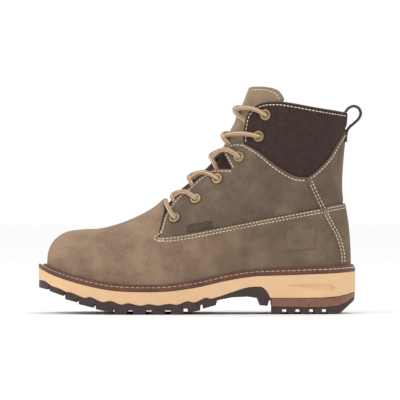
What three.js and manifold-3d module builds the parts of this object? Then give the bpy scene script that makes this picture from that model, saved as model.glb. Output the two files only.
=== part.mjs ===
// A left lace-up work boot with a steel toe cap, standing on its sole.
// Millimetres, +Z up, toe towards -X, outer (lateral) side towards -Y.
// The upper is one smooth skin, drawn as a side view and given its width by skinWidth().
// Every leather, lining and stiffener is a patch of that skin, set in by its place in the stack.
import * as THREE from "three";
import { mergeVertices } from "three/addons/utils/BufferGeometryUtils.js";
import Module from "manifold-3d";

const wasm = await Module();
wasm.setup();

// ---- Driving dimensions -------------------------------------------------------------------
const SOLE_LENGTH = 288; // toe tip to heel of the midsole
const BOOT_HEIGHT = 206; // ground to the top of the tongue
const BALL_WIDTH = 95; // upper, across the ball of the foot
const SHAFT_WIDTH = 75; // upper, across the collar

const CLEARANCE = 0.3; // between pieces that touch
const LAYER_GAP = 0.6; // between layers of the upper
const BOARD_GAP = 1.3; // between leather and the toe cap or the heel stiffener
const SEAM_GAP = 0.6; // between leathers that meet edge to edge
const LEATHER = 1.8;
const LINING = 0.8;
const TOE_STEEL = 2.0;
const TOE_PAD = 1.2;
const COUNTER_BOARD = 1.5;
const COLLAR_FOAM = 4.5;
const TONGUE_LEATHER = 1.4;
const TONGUE_FOAM = 3.0;
const GUSSET = 0.8;

const LACE_DIAMETER = 4.2;
const EYELET_BORE = LACE_DIAMETER + 1.7;
const EYELET_FLANGE = EYELET_BORE + 4.2;
const EYELET_WALL = 0.5;
const EYELET_RIM = 0.8; // height of the flange above the leather

const WELT_GAP = 0.5; // between the upper and the rib
const WELT_THICKNESS = 4.2;
const WELT_RIB = 7.4; // height of the rib that lies against the upper
const INSOLE_INSET = 6; // from the skin to the edge of the insole board
const FILLER_THICKNESS = 2.6;
const BOARD_THICKNESS = 2;
const FOOTBED_THICKNESS = 4.5;
const SHANK_WIDTH = 14;
const SHANK_THICKNESS = 1.5;

const LUG_PITCH = 17.2;
const LUG_DEPTH = 5;
const LUG_GAP = 5.5; // at the ground
const LUG_GAP_ROOF = 2.2;
const TREAD_CHANNEL = 4; // width of the two channels along the tread
const HEEL_LUG_DEPTH = 4.2;

const LOOP_WIDTH = 15;
const LOOP_THICKNESS = 2.4;
const LOOP_STANDOFF = 0.7; // extra room between the back of the boot and the loop
const AGLET_LENGTH = 18;
const AGLET_WALL = 0.4;

// The outlines below are drawn for these sizes and stretched to the ones above.
const DRAWN = { length: 288, height: 206, ballWidth: 95, shaftWidth: 75 };
const LONG = SOLE_LENGTH / DRAWN.length;
const HIGH = BOOT_HEIGHT / DRAWN.height;
const WIDE = BALL_WIDTH / DRAWN.ballWidth;
const SHAFT_WIDE = SHAFT_WIDTH / DRAWN.shaftWidth;
const at = (x, z) => new THREE.Vector2(x * LONG, z * HIGH);
const drawn = (points) => points.map(([x, z]) => at(x, z));

// ---- Curves of the side view --------------------------------------------------------------
const curve = (points) => new THREE.SplineCurve(points);
const spline = (points) => curve(drawn(points));

const FRONT = spline([
  [-137, 20], [-137, 34], [-137, 47], [-135.5, 57], [-130, 66.5], [-119, 73.8], [-104, 76],
  [-88, 76.8], [-72, 81], [-57, 87], [-43, 94], [-31, 103], [-16, 117.5], [-3, 129.5],
  [9, 141], [18.5, 153.5], [25, 167], [31, 181], [36.5, 195], [42, 209],
]);
const BACK = spline([
  [139, 20], [139.2, 36], [139.2, 52], [138.4, 70], [135.8, 90], [132.4, 105.5], [131.8, 122],
  [133.2, 142], [135, 160], [137, 184],
]);
// The line where the upper and the welt meet the midsole.
const SOLE_LINE = spline([
  [-150, 44.5], [-136, 37.2], [-120, 31.3], [-98, 25.4], [-76, 21.4], [-50, 20.2], [-25, 20.9],
  [0, 24.4], [25, 30], [50, 34], [75, 35], [100, 35.9], [125, 37], [150, 38.8],
]);

// A curve as a function: its second coordinate at a given first coordinate.
function heights(line, flip = false) {
  const steps = 240;
  const table = line.getPoints(steps).map((p) => (flip ? [p.y, p.x] : [p.x, p.y]));
  return (u) => {
    let low = 0;
    let high = steps;
    while (high - low > 1) {
      const middle = (low + high) >> 1;
      if (table[middle][0] <= u) low = middle;
      else high = middle;
    }
    const [a, b] = [table[low], table[high]];
    const share = Math.min(1, Math.max(0, (u - a[0]) / (b[0] - a[0] || 1)));
    return a[1] + share * (b[1] - a[1]);
  };
}
const soleLine = heights(SOLE_LINE);
const frontAt = heights(FRONT, true);
const backAt = heights(BACK, true);

// Half-widths and centre line of the foot along X, and half-width of the shaft along Z.
const alongX = (points, scale) => heights(curve(points.map(([x, y]) => new THREE.Vector2(x * LONG, y * scale))));
const alongZ = (points, scale) => heights(curve(points.map(([z, y]) => new THREE.Vector2(z * HIGH, y * scale))));
const footHalf = alongX([
  [-150, 45.5], [-110, 44.5], [-90, 46], [-65, 47.5], [-40, 45.5], [-10, 40.5], [20, 36], [50, 33.2],
  [80, 33], [110, 33.5], [150, 33.5],
], WIDE);
const footCentre = alongX([
  [-150, 5.5], [-110, 3.5], [-90, 1.8], [-65, -0.5], [-40, -2.2], [-10, -4], [20, -4.2], [50, -2.5],
  [80, -0.7], [110, 0], [150, 0],
], WIDE);
const shaftHalf = alongZ([[0, 35], [100, 35], [120, 34.5], [150, 35.5], [185, 37.5], [215, 38]], SHAFT_WIDE);
// How far in from the front or the back outline the skin reaches its full width.
const frontRound = alongZ([[0, 45], [75, 45], [95, 50], [120, 57], [150, 55], [215, 50]], 1);
const backRound = alongZ([[0, 30], [80, 30], [115, 42], [150, 44], [215, 44]], 1);
const weltReach = alongX([[-150, 8], [-100, 7], [0, 6.5], [60, 6], [110, 5], [150, 4.3]], 1);

const smooth = (t) => {
  const u = Math.min(1, Math.max(0, t));
  return u * u * (3 - 2 * u);
};

// Distance from (x, z) to an outline, positive inside the boot.
function distanceTo(line, inward) {
  const p = line.getPoints(120);
  return (x, z) => {
    let best = Infinity;
    let side = 1;
    for (let i = 0; i + 1 < p.length; i++) {
      const [ex, ez] = [p[i + 1].x - p[i].x, p[i + 1].y - p[i].y];
      const [px, pz] = [x - p[i].x, z - p[i].y];
      const t = Math.min(1, Math.max(0, (px * ex + pz * ez) / (ex * ex + ez * ez)));
      const away = Math.hypot(px - t * ex, pz - t * ez);
      if (away < best - 1e-9) {
        best = away;
        side = Math.sign(px * ez - pz * ex) || 1;
      }
    }
    return inward * side * best;
  };
}
const fromFront = distanceTo(FRONT, 1);
const fromBack = distanceTo(BACK, -1);

const round2 = (t) => (t < 1 ? t * (2 - t) : 1); // the square of a quarter circle's height
const shaftShare = (z) => smooth((z / HIGH - 55) / 70);
const halfAt = (x, z) => footHalf(x) + (shaftHalf(z) - footHalf(x)) * shaftShare(z);
const centreAt = (x, z) => footCentre(x) * (1 - shaftShare(z));
const shapeAt = (x, z) => round2(fromFront(x, z) / frontRound(z)) * round2(fromBack(x, z) / backRound(z));
const skinWidth = (x, z) => halfAt(x, z) * Math.sqrt(Math.max(0, shapeAt(x, z)));

// A point of the skin on one side (-1 outer, +1 inner) and its normal, moved out by lift.
function skin(x, z, side, lift = 0) {
  const y = side * skinWidth(x, z);
  const h = 0.05;
  const level = (a, b) => (y / halfAt(a, b)) ** 2 - shapeAt(a, b);
  const slope = (y / halfAt(x, z) ** 2) * 2;
  const centreX = (centreAt(x + h, z) - centreAt(x - h, z)) / (2 * h);
  const centreZ = (centreAt(x, z + h) - centreAt(x, z - h)) / (2 * h);
  const normal = new THREE.Vector3(
    (level(x + h, z) - level(x - h, z)) / (2 * h) - slope * centreX,
    slope,
    (level(x, z + h) - level(x, z - h)) / (2 * h) - slope * centreZ,
  ).normalize();
  return new THREE.Vector3(x, centreAt(x, z) + y, z).addScaledVector(normal, lift);
}

// The point of the side view that lies `reach` mm to the side of the front outline at share u.
function besideFront(u, reach) {
  const p = FRONT.getPointAt(u);
  const t = FRONT.getTangentAt(u);
  const depth = frontRound(p.y) * (1 - Math.sqrt(1 - Math.min(1, reach / halfAt(p.x, p.y)) ** 2));
  return new THREE.Vector2(p.x + t.y * depth, p.y - t.x * depth);
}

// ---- Solids -------------------------------------------------------------------------------
function geometryOf(points, triangles) {
  const position = new Float32Array(points.flatMap((p) => [p.x, p.y, p.z]));
  const geometry = new THREE.BufferGeometry();
  geometry.setAttribute("position", new THREE.BufferAttribute(position, 3));
  let volume = 0;
  for (const [a, b, c] of triangles) volume += points[a].dot(new THREE.Vector3().crossVectors(points[b], points[c]));
  geometry.setIndex(triangles.flatMap(([a, b, c]) => (volume < 0 ? [a, c, b] : [a, b, c])));
  return geometry;
}

// A closed solid between two grids of the same size, grid[row][column].
function slab(outer, inner) {
  const rows = outer.length;
  const columns = outer[0].length;
  const points = [...outer.flat(), ...inner.flat()];
  const id = (layer, r, c) => layer * rows * columns + r * columns + c;
  const triangles = [];
  const quad = (a, b, c, d) => triangles.push([a, b, c], [a, c, d]);
  for (let r = 0; r + 1 < rows; r++) {
    for (let c = 0; c + 1 < columns; c++) {
      quad(id(0, r, c), id(0, r, c + 1), id(0, r + 1, c + 1), id(0, r + 1, c));
      quad(id(1, r, c), id(1, r + 1, c), id(1, r + 1, c + 1), id(1, r, c + 1));
    }
    quad(id(0, r, 0), id(0, r + 1, 0), id(1, r + 1, 0), id(1, r, 0));
    quad(id(0, r + 1, columns - 1), id(0, r, columns - 1), id(1, r, columns - 1), id(1, r + 1, columns - 1));
  }
  for (let c = 0; c + 1 < columns; c++) {
    quad(id(0, 0, c + 1), id(0, 0, c), id(1, 0, c), id(1, 0, c + 1));
    quad(id(0, rows - 1, c), id(0, rows - 1, c + 1), id(1, rows - 1, c + 1), id(1, rows - 1, c));
  }
  return geometryOf(points, triangles);
}

function solidOf(geometry) {
  const bare = geometry.index ? geometry.toNonIndexed() : geometry.clone();
  for (const name of Object.keys(bare.attributes)) if (name !== "position") bare.deleteAttribute(name);
  const merged = mergeVertices(bare, 1e-3);
  const triVerts = new Uint32Array(merged.index.array);
  return new wasm.Manifold(new wasm.Mesh({ numProp: 3, vertProperties: merged.attributes.position.array, triVerts }));
}

function geometryFrom(solid) {
  const mesh = solid.getMesh();
  const geometry = new THREE.BufferGeometry();
  geometry.setAttribute("position", new THREE.BufferAttribute(new Float32Array(mesh.vertProperties), 3));
  geometry.setIndex(new THREE.BufferAttribute(new Uint32Array(mesh.triVerts), 1));
  return geometry;
}

// ---- Patches of the skin ------------------------------------------------------------------
const ease = (s) => Math.sin((s * Math.PI) / 2);
const even = (s) => s;
const longEase = (s) => ease(s * (0.48 + 0.52 * s)); // closer columns at both ends of a long patch
const run = (points) => {
  const line = curve(points);
  return (s) => line.getPointAt(Math.min(1, Math.max(0, s)));
};
const edge = (points) => run(drawn(points));
// Several runs after each other; ends[i] is the share at which run i ends.
const chain = (runs, ends) => (s) => {
  const i = Math.min(runs.length - 1, ends.findIndex((e) => s <= e + 1e-9));
  const begin = i ? ends[i - 1] : 0;
  return runs[i]((s - begin) / (ends[i] - begin));
};
const part = (f, from, to) => (s) => f(from + (to - from) * s);
// A stretch of the front or back outline between two heights.
function outline(line, from, to) {
  const steps = 400;
  const share = (z) => {
    let i = 0;
    while (i < steps && line.getPointAt(i / steps).y < z) i++;
    return i / steps;
  };
  const [a, b] = [share(from), share(to)];
  return (s) => line.getPointAt(a + (b - a) * s);
}
const aboveSole = (lift) => (x) => new THREE.Vector2(x, soleLine(x) + lift);

// A Coons patch of the side view. Its right end lies on an outline, where ease() spaces the
// columns so that the widths stay even; even() is for a patch that touches no outline.
function patch({ bottom, top, left, right, columns, rows, spread = ease }) {
  const corners = [bottom(0), bottom(1), top(0), top(1)];
  const grid = [];
  for (let r = 0; r <= rows; r++) {
    const v = r / rows;
    grid.push([]);
    for (let c = 0; c <= columns; c++) {
      const u = spread(c / columns);
      const p = new THREE.Vector2();
      p.addScaledVector(bottom(u), 1 - v).addScaledVector(top(u), v);
      p.addScaledVector(left(v), 1 - u).addScaledVector(right(v), u);
      p.addScaledVector(corners[0], -(1 - u) * (1 - v)).addScaledVector(corners[1], -u * (1 - v));
      p.addScaledVector(corners[2], -(1 - u) * v).addScaledVector(corners[3], -u * v);
      grid[r].push(p);
    }
  }
  return grid;
}

// Pulls the edge of a grid of points in by a distance, along the grid's own lines.
function trim(grid, amount) {
  const [rows, columns] = [grid.length, grid[0].length];
  const pull = (r, c, dr, dc) => {
    const p = grid[r][c];
    const q = grid[r + dr][c + dc];
    p.addScaledVector(q.clone().sub(p).normalize(), Math.min(amount, q.distanceTo(p) / 3));
  };
  for (let c = 0; c < columns; c++) {
    pull(0, c, 1, 0);
    pull(rows - 1, c, -1, 0);
  }
  for (let r = 0; r < rows; r++) {
    pull(r, 0, 0, 1);
    pull(r, columns - 1, 0, -1);
  }
  return grid;
}

const depthOf = (depth, x, z) => (typeof depth === "function" ? depth(x, z) : depth);

// A sheet cut from the skin: `sides` is -1, +1 or "both" when it runs round the toe or the heel.
function sheet(grid, sides, depth, thickness, gap = SEAM_GAP) {
  const layer = (extra) => {
    const lift = (p, side) => skin(p.x, p.y, side, -(depthOf(depth, p.x, p.y) + extra(p)));
    const rows = grid.map((row) => {
      if (sides !== "both") return row.map((p) => lift(p, sides));
      const outer = row.map((p) => lift(p, -1));
      const inner = row.map((p) => lift(p, 1));
      inner.pop();
      return [...outer, ...inner.reverse()];
    });
    return trim(rows, gap / 2);
  };
  return slab(layer(() => 0), layer((p) => depthOf(thickness, p.x, p.y)));
}

// ---- Edges of the leathers ----------------------------------------------------------------
const UPPER_FOOT = CLEARANCE; // the upper ends this far above the midsole
const THROAT = [-35.5, 69.6]; // where vamp and quarter part, at the foot of the facing
const VAMP_SEAM = [[-35.5, 69.6], [-15, 71.2], [26.5, 79.2], [68, 87.3], [110.5, 95.3]];
const FACING_LOW = [[-35.5, 69.6], [-33.2, 78], [-30, 89], [-23, 100.6], [-16.8, 107.6], [-7.7, 114.6], [1.4, 123], [13.2, 130.8]];
const NOTCH_LOW = [[13.2, 130.8], [22, 131.2], [31, 131]];
const NOTCH_HIGH = [[31, 131], [26.5, 139.5], [22.3, 147]];
const FACING_TIP = [[22.3, 147], [26, 151.5], [32, 154.6], [41.4, 154.4]];
const COLLAR_SEAM = [[41.4, 154.4], [55, 146.2], [66, 137], [77, 129], [88, 123.4], [97.6, 122.6]];
const COLLAR_SEAM_BACK = [[97.6, 122.6], [104.2, 126], [115, 136], [121, 143.6], [127, 154], [134.6, 167]];
const COLLAR_FRONT = [[41.4, 154.4], [41.2, 163], [42.3, 171], [45.2, 180.6], [50.5, 186]];
const COLLAR_TOP = [[50.5, 186], [60, 188.8], [72, 190], [88, 189.2], [110, 185.4], [136.8, 181.6]];
const REAR_SEAM = [[110.5, 95.3], [104, 108.6], [97.6, 122.6]];
const COUNTER_TOP = [[110.5, 95.3], [122, 97.8], [133.6, 99.8]];
const COUNTER_FRONT = [[128.8, 42], [128.8, 51], [127, 61], [123.8, 70], [118.5, 80], [110.5, 95.3]];
const COUNTER_FOOT_X = 128.8;
const VAMP_END = [[-35.5, 69.6], [-33.6, 78], [-31.5, 87], [-29.5, 94], [-31, 103]];

const onBack = (z) => [backAt(z * HIGH) / LONG, z];
const onFront = (z) => [frontAt(z * HIGH) / LONG, z];
const backEnd = (points) => [...points.slice(0, -1), onBack(points.at(-1)[1])];
const frontEnd = (points) => [...points.slice(0, -1), onFront(points.at(-1)[1])];
const reversed = (points) => [...points].reverse();

const VAMP_COLUMNS = 20;
const VAMP_CORNER = 10; // the grid column of the vamp that ends at the throat
const TOE_TOP = 76.2; // height on the front outline up to which the rows lie close together
function vampPatch(lift = UPPER_FOOT, rows = 12) {
  const [toeX, rearX] = [-137 * LONG, COUNTER_FOOT_X * LONG];
  const feather = (s) => aboveSole(lift)(rearX + (toeX - rearX) * s);
  const split = longEase(VAMP_CORNER / VAMP_COLUMNS);
  const toeZ = soleLine(toeX) + lift;
  const end = frontEnd(VAMP_END);
  return patch({
    bottom: feather,
    top: chain([edge(reversed(VAMP_SEAM)), edge(end)], [split, 1]),
    left: edge([[COUNTER_FOOT_X, (soleLine(rearX) + lift) / HIGH], ...COUNTER_FRONT.slice(1)]),
    right: chain([outline(FRONT, toeZ, TOE_TOP * HIGH), outline(FRONT, TOE_TOP * HIGH, end.at(-1)[1] * HIGH)], [0.62, 1]),
    columns: VAMP_COLUMNS,
    rows,
    spread: longEase,
  });
}

function quarterPatch(columns = 8) {
  // Rows end at the corners of the facing: 7 below the notch, 2 and 2 around it, 2 at the tip.
  return patch({
    bottom: edge(VAMP_SEAM),
    top: edge(COLLAR_SEAM),
    left: chain([edge(FACING_LOW), edge(NOTCH_LOW), edge(NOTCH_HIGH), edge(FACING_TIP)], [7 / 13, 9 / 13, 11 / 13, 1]),
    right: edge(REAR_SEAM),
    columns,
    rows: 13,
    spread: even,
  });
}

function collarPatch() {
  const seam = backEnd(COLLAR_SEAM_BACK);
  const top = backEnd(COLLAR_TOP);
  return patch({
    bottom: chain([edge(COLLAR_SEAM), edge(seam)], [ease(6 / 13), 1]),
    top: edge(top),
    left: edge(COLLAR_FRONT),
    right: outline(BACK, seam.at(-1)[1] * HIGH, top.at(-1)[1] * HIGH),
    columns: 13,
    rows: 6,
  });
}

function backPanelPatch() {
  const top = backEnd(COLLAR_SEAM_BACK);
  const foot = backEnd(COUNTER_TOP);
  return patch({
    bottom: edge(foot),
    top: edge(top),
    left: edge(REAR_SEAM),
    right: outline(BACK, foot.at(-1)[1] * HIGH, top.at(-1)[1] * HIGH),
    columns: 8,
    rows: 5,
  });
}

function counterPatch(lift = UPPER_FOOT) {
  const frontX = COUNTER_FOOT_X * LONG;
  const frontZ = soleLine(frontX) + lift;
  const rearX = backAt(soleLine(139 * LONG)) - 0;
  const top = backEnd(COUNTER_TOP);
  return patch({
    bottom: (s) => aboveSole(lift)(frontX + (rearX - frontX) * s),
    top: edge(top),
    left: edge([[COUNTER_FOOT_X, frontZ / HIGH], ...COUNTER_FRONT.slice(1)]),
    right: outline(BACK, soleLine(rearX) + lift, top.at(-1)[1] * HIGH),
    columns: 8,
    rows: 5,
  });
}

// ---- Depth of each layer of the upper -----------------------------------------------------
const UNDER_LEATHER = LEATHER + LAYER_GAP;
const span = (value, from, to) => smooth((value - from) / (to - from));
const toeShare = (x) => span(-x / LONG, 44, 60);
const counterShare = (x, z) => span(x / LONG, 54, 72) * span(-z / HIGH, -114, -99);
const foamShare = (x, z) => span(x / LONG, 66, 90) * span(z / HIGH, 122, 136) * span(-z / HIGH, -184, -174);
const liningDepth = (x, z) =>
  UNDER_LEATHER
  + (TOE_STEEL + BOARD_GAP) * toeShare(x)
  + (COUNTER_BOARD + BOARD_GAP) * counterShare(x, z)
  + (COLLAR_FOAM + LAYER_GAP) * foamShare(x, z);
const STIFFENER_DEPTH = LEATHER + BOARD_GAP;
const LINED = UNDER_LEATHER + LINING; // depth of the lining's inner face where nothing pads it
const EYELET_FOOT = LINED + 0.9; // depth of the eyelet's inner flange
const LACE_BED = EYELET_FOOT + LACE_DIAMETER / 2 + CLEARANCE; // depth of a lace that runs under the facing
const TONGUE_FRONT = LINED + CLEARANCE;
const TONGUE_SIDE = LACE_BED + LACE_DIAMETER / 2 + 3 * CLEARANCE;
const tongueDepth = (x, z) => TONGUE_FRONT + (TONGUE_SIDE - TONGUE_FRONT) * span(fromFront(x, z), 1, 7);

// ---- Small tools --------------------------------------------------------------------------
const boot = new THREE.Group();
boot.name = "boot";
const body = new THREE.Group();
body.name = "body";
boot.add(body);

const COLOURS = {
  leather: 0x7d6a55, darkLeather: 0x43302e, lining: 0x8a7a66, tan: 0xe5bd8d, welt: 0x6b4334,
  heelLayer: 0x7a4a3a, rubber: 0x42302f, lace: 0xd9a878, brass: 0x9a8a68, steel: 0x9a9da0,
  board: 0xb49a74, cork: 0xa5764a, foam: 0xcfc6b4, plastic: 0x2b2624,
};

function add(name, geometry, colour) {
  const metal = colour === "steel" || colour === "brass";
  const material = new THREE.MeshStandardMaterial({
    color: COLOURS[colour],
    roughness: metal ? 0.4 : 0.85,
    metalness: metal ? 0.9 : 0,
  });
  material.name = colour;
  const mesh = new THREE.Mesh(geometry, material);
  mesh.name = name;
  body.add(mesh);
}

// A prism on a closed outline: axis "z" takes (x, y) points, axis "y" takes (x, z) points.
function prism(points, from, to, axis) {
  const place = axis === "z" ? (p, h) => new THREE.Vector3(p.x, p.y, h) : (p, h) => new THREE.Vector3(p.x, h, p.y);
  const n = points.length;
  const faces = THREE.ShapeUtils.triangulateShape(points, []);
  const triangles = [];
  const upright = THREE.ShapeUtils.area(points) > 0;
  for (const [a, b, c] of faces) {
    triangles.push([a + n, b + n, c + n], [a, c, b]);
  }
  for (let i = 0; i < n; i++) {
    const j = (i + 1) % n;
    if (upright) triangles.push([i, j, j + n], [i, j + n, i + n]);
    else triangles.push([j, i, i + n], [j, i + n, j + n]);
  }
  return geometryOf([...points.map((p) => place(p, from)), ...points.map((p) => place(p, to))], triangles);
}
const sideCut = (points) => solidOf(prism(points, -90, 90, "y"));
const planCut = (points) => solidOf(prism(points, -40, 260, "z"));

// The outline of the foot seen from above, at a height over the sole line, moved out by reach(x).
function plan(lift, reach, steps = 18) {
  const x0 = -137 * LONG;
  const x1 = backAt(40 * HIGH);
  const rim = [];
  for (const side of [-1, 1]) {
    for (let i = side < 0 ? 0 : 1; i < (side < 0 ? steps + 1 : steps); i++) {
      const s = side < 0 ? i / steps : 1 - i / steps;
      const x = x0 + ((x1 - x0) * (1 - Math.cos(Math.PI * s))) / 2;
      const p = skin(x, soleLine(x) + lift, side, reach(x, soleLine(x) + lift));
      rim.push(new THREE.Vector2(p.x, p.y));
    }
  }
  return rim;
}

// A band of the side view between two heights over the sole line, over a stretch of X.
function band(low, high, from = -170 * LONG, to = 170 * LONG, steps = 34) {
  const xs = Array.from({ length: steps + 1 }, (_, i) => from + ((to - from) * i) / steps);
  const level = (rise) => (x) => new THREE.Vector2(x, soleLine(x) + rise);
  return [...xs.map(level(low)), ...xs.reverse().map(level(high))];
}

// A solid through rings of points; an open one gets flat ends.
function sweep(rings, closed) {
  const n = rings.length;
  const m = rings[0].length;
  const triangles = [];
  for (let i = 0; i < (closed ? n : n - 1); i++) {
    for (let j = 0; j < m; j++) {
      const [a, b] = [i * m + j, i * m + ((j + 1) % m)];
      const [c, d] = [((i + 1) % n) * m + j, ((i + 1) % n) * m + ((j + 1) % m)];
      triangles.push([a, b, d], [a, d, c]);
    }
  }
  if (!closed) {
    for (let j = 1; j + 1 < m; j++) {
      triangles.push([0, j + 1, j], [(n - 1) * m, (n - 1) * m + j, (n - 1) * m + j + 1]);
    }
  }
  return geometryOf(rings.flat(), triangles);
}

// A round cord through points, with a ring at each of them.
const CORD_SIDES = 7;
function cord(points, radius) {
  const path = new THREE.CatmullRomCurve3(points, false, "centripetal");
  let across = new THREE.Vector3(0.1, 0.3, 1);
  return sweep(points.map((_, i) => {
    const along = path.getTangent(i / (points.length - 1));
    const centre = path.getPoint(i / (points.length - 1));
    across = across.clone().addScaledVector(along, -across.dot(along)).normalize();
    const other = new THREE.Vector3().crossVectors(along, across);
    return Array.from({ length: CORD_SIDES }, (_, j) => {
      const a = (2 * Math.PI * j) / CORD_SIDES;
      return centre.clone().addScaledVector(across, radius * Math.cos(a)).addScaledVector(other, radius * Math.sin(a));
    });
  }), false);
}

// ---- Sole unit ----------------------------------------------------------------------------
const edgeReach = (x) => weltReach(x);
const soleRim = plan(6, edgeReach, 26);
const midsolePlan = planCut(soleRim);

const SCALLOP = [
  [-150, 32], [-144.5, 30.2], [-138.7, 29.3], [-131.7, 25.1], [-125.1, 23.1], [-118.5, 20.1], [-113.2, 19.2],
  [-102, 14.8], [-96.4, 15.6], [-86, 11.2], [-78.1, 12.1], [-69, 9], [-61.9, 10.1], [-51.7, 7.9],
  [-44, 9.3], [-35.6, 8.1], [-25.8, 9.5], [-18.2, 8.7], [-9.2, 11.8], [-2.2, 10.8], [6.9, 14.8],
  [12.4, 14.1], [20.8, 16.3], [31.2, 19.8], [45.2, 24], [56.4, 24.7], [59.8, 23.4], [63.1, 19.9],
  [66.2, 14.5],
];
const HEEL_TAN_FOOT = [[95, 14.5], [114.5, 14.9], [128, 15.9], [136, 17.6], [142.9, 19.4], [152, 22.5]];
const soleTop = Array.from({ length: 45 }, (_, i) => (-160 + (320 * i) / 44) * LONG);

function midsole() {
  const low = drawn([...SCALLOP, ...HEEL_TAN_FOOT]);
  const profile = [...low, ...[...soleTop].reverse().map((x) => new THREE.Vector2(x, soleLine(x)))];
  const groove = drawn([
    [81, 26], [95, 26.4], [110, 26.7], [119, 26.5], [123, 25.4], [124.5, 23.2], [123, 21.2], [119, 20.4],
    [110, 21.2], [95, 23.4], [84, 25],
  ]);
  const core = planCut(plan(6, (x) => weltReach(x) - 2.2, 26));
  return geometryFrom(midsolePlan.intersect(sideCut(profile)).subtract(sideCut(groove).subtract(core)));
}

// Lugs of the forefoot: start, end and ground height of each one, from the toe back.
const FORE_LUGS = [
  [-150, -135.2, 24, 21.6], [-134, -121, 20.4, 16.2], [-119.4, -108.6, 13.4, 10.6], [-107, -93.6, 9, 5.8],
  [-91.6, -76.8, 4.6, 1.6], [-74.6, -63.6, 0.6, 0], [-57.8, -47, 0, 0], [-40.6, -29.8, 0, 0],
  [-23.6, -13, 0, 0], [-8.4, 2.4, 1.6, 3.6], [5, 16.6, 5, 8.2],
];
function outsole() {
  const top = drawn(SCALLOP).map((p, i, all) => {
    const q = all[Math.min(all.length - 1, i + 1)];
    const o = all[Math.max(0, i - 1)];
    const t = q.clone().sub(o).normalize();
    return p.clone().add(new THREE.Vector2(t.y, -t.x).multiplyScalar(CLEARANCE + 0.15));
  });
  const foot = [];
  FORE_LUGS.forEach(([from, to, zFrom, zTo], i) => {
    const lean = (LUG_GAP - LUG_GAP_ROOF) / 2 / LONG;
    const depth = LUG_DEPTH - 0.4;
    foot.push([from, zFrom], [to, zTo]);
    if (i + 1 < FORE_LUGS.length) {
      const next = FORE_LUGS[i + 1];
      const middle = (to + next[0]) / 2;
      const roof = Math.max(zTo, next[2]) + depth - 1;
      const half = Math.max(0.5, (next[0] - to) / 2 - Math.min(lean, (next[0] - to) / 4));
      foot.push([middle - half, roof], [middle + half, roof]);
    }
  });
  const shank = [[18, 12.6], [31.2, 15.2], [45.2, 15.8], [53.5, 14.6], [56, 8], [63.4, 7.4], [64.6, 12]];
  const profile = [...drawn([...foot, ...shank]), ...top.reverse()];
  const reach = (x) => weltReach(x) - 0.4;
  let solid = planCut(plan(6, reach, 26)).intersect(sideCut(profile));
  for (const side of [-1, 1]) {
    const xs = Array.from({ length: 15 }, (_, i) => (-96 + 7.4 * i) * LONG);
    const line = (offset) => (x) => new THREE.Vector2(x, footCentre(x) + side * (footHalf(x) * 0.36) + offset);
    const strip = [...xs.map(line(-TREAD_CHANNEL / 2)), ...xs.reverse().map(line(TREAD_CHANNEL / 2))];
    const deep = drawn([[-97, -2], [9, -2], [9, 6.2], [2, 4.8], [-10, 3.4], [-30, 3], [-60, 3.2], [-78, 5], [-97, 9.6]]);
    solid = solid.subtract(planCut(strip).intersect(sideCut(deep)));
  }
  return geometryFrom(solid);
}

function heelLayer() {
  const tanFoot = [[66.4, 14.5], ...HEEL_TAN_FOOT];
  const top = drawn(tanFoot).map((p) => new THREE.Vector2(p.x, p.y - CLEARANCE - 0.05));
  const low = drawn([[67, 6.8], [94.5, 6], [114.5, 6.2], [128, 7.2], [134.6, 9.9], [142.2, 15], [150, 20.4]]);
  const grow = (x) => weltReach(x) - 0.6;
  return geometryFrom(planCut(plan(6, grow, 26)).intersect(sideCut([...low, ...top.reverse()])));
}

const HEEL_LUGS = [[67.6, 76], [81.6, 88], [93.6, 100.5], [106, 112], [118, 128]];
function heelTread() {
  const foot = [];
  HEEL_LUGS.forEach(([from, to], i) => {
    foot.push([from, 0], [to, 0]);
    if (i + 1 < HEEL_LUGS.length) {
      foot.push([to + 1, HEEL_LUG_DEPTH / HIGH], [HEEL_LUGS[i + 1][0] - 1, HEEL_LUG_DEPTH / HIGH]);
    }
  });
  foot.push([134.5, 4.9], [141.4, 10.6], [149, 17.6]);
  const top = drawn([[67, 6.8], [94.5, 6], [114.5, 6.2], [128, 7.2], [134.6, 9.9], [142.2, 15], [149, 19.7]]);
  top.forEach((p) => p.add(new THREE.Vector2(0, -CLEARANCE - 0.05)));
  const grow = (x) => weltReach(x) - 0.9;
  let solid = planCut(plan(6, grow, 26)).intersect(sideCut([...drawn(foot), ...top.reverse()]));
  const slot = drawn([[60, -2], [120, -2], [120, 3.2], [60, 3.2]]);
  for (const side of [-1, 1]) {
    const y = side * 11 * WIDE;
    const strip = [at(60, 0), at(116, 0)].map((p) => p.x);
    const box = [
      new THREE.Vector2(strip[0], y - 2), new THREE.Vector2(strip[1], y - 2),
      new THREE.Vector2(strip[1], y + 2), new THREE.Vector2(strip[0], y + 2),
    ];
    solid = solid.subtract(planCut(box).intersect(sideCut(slot)));
  }
  return geometryFrom(solid);
}

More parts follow.
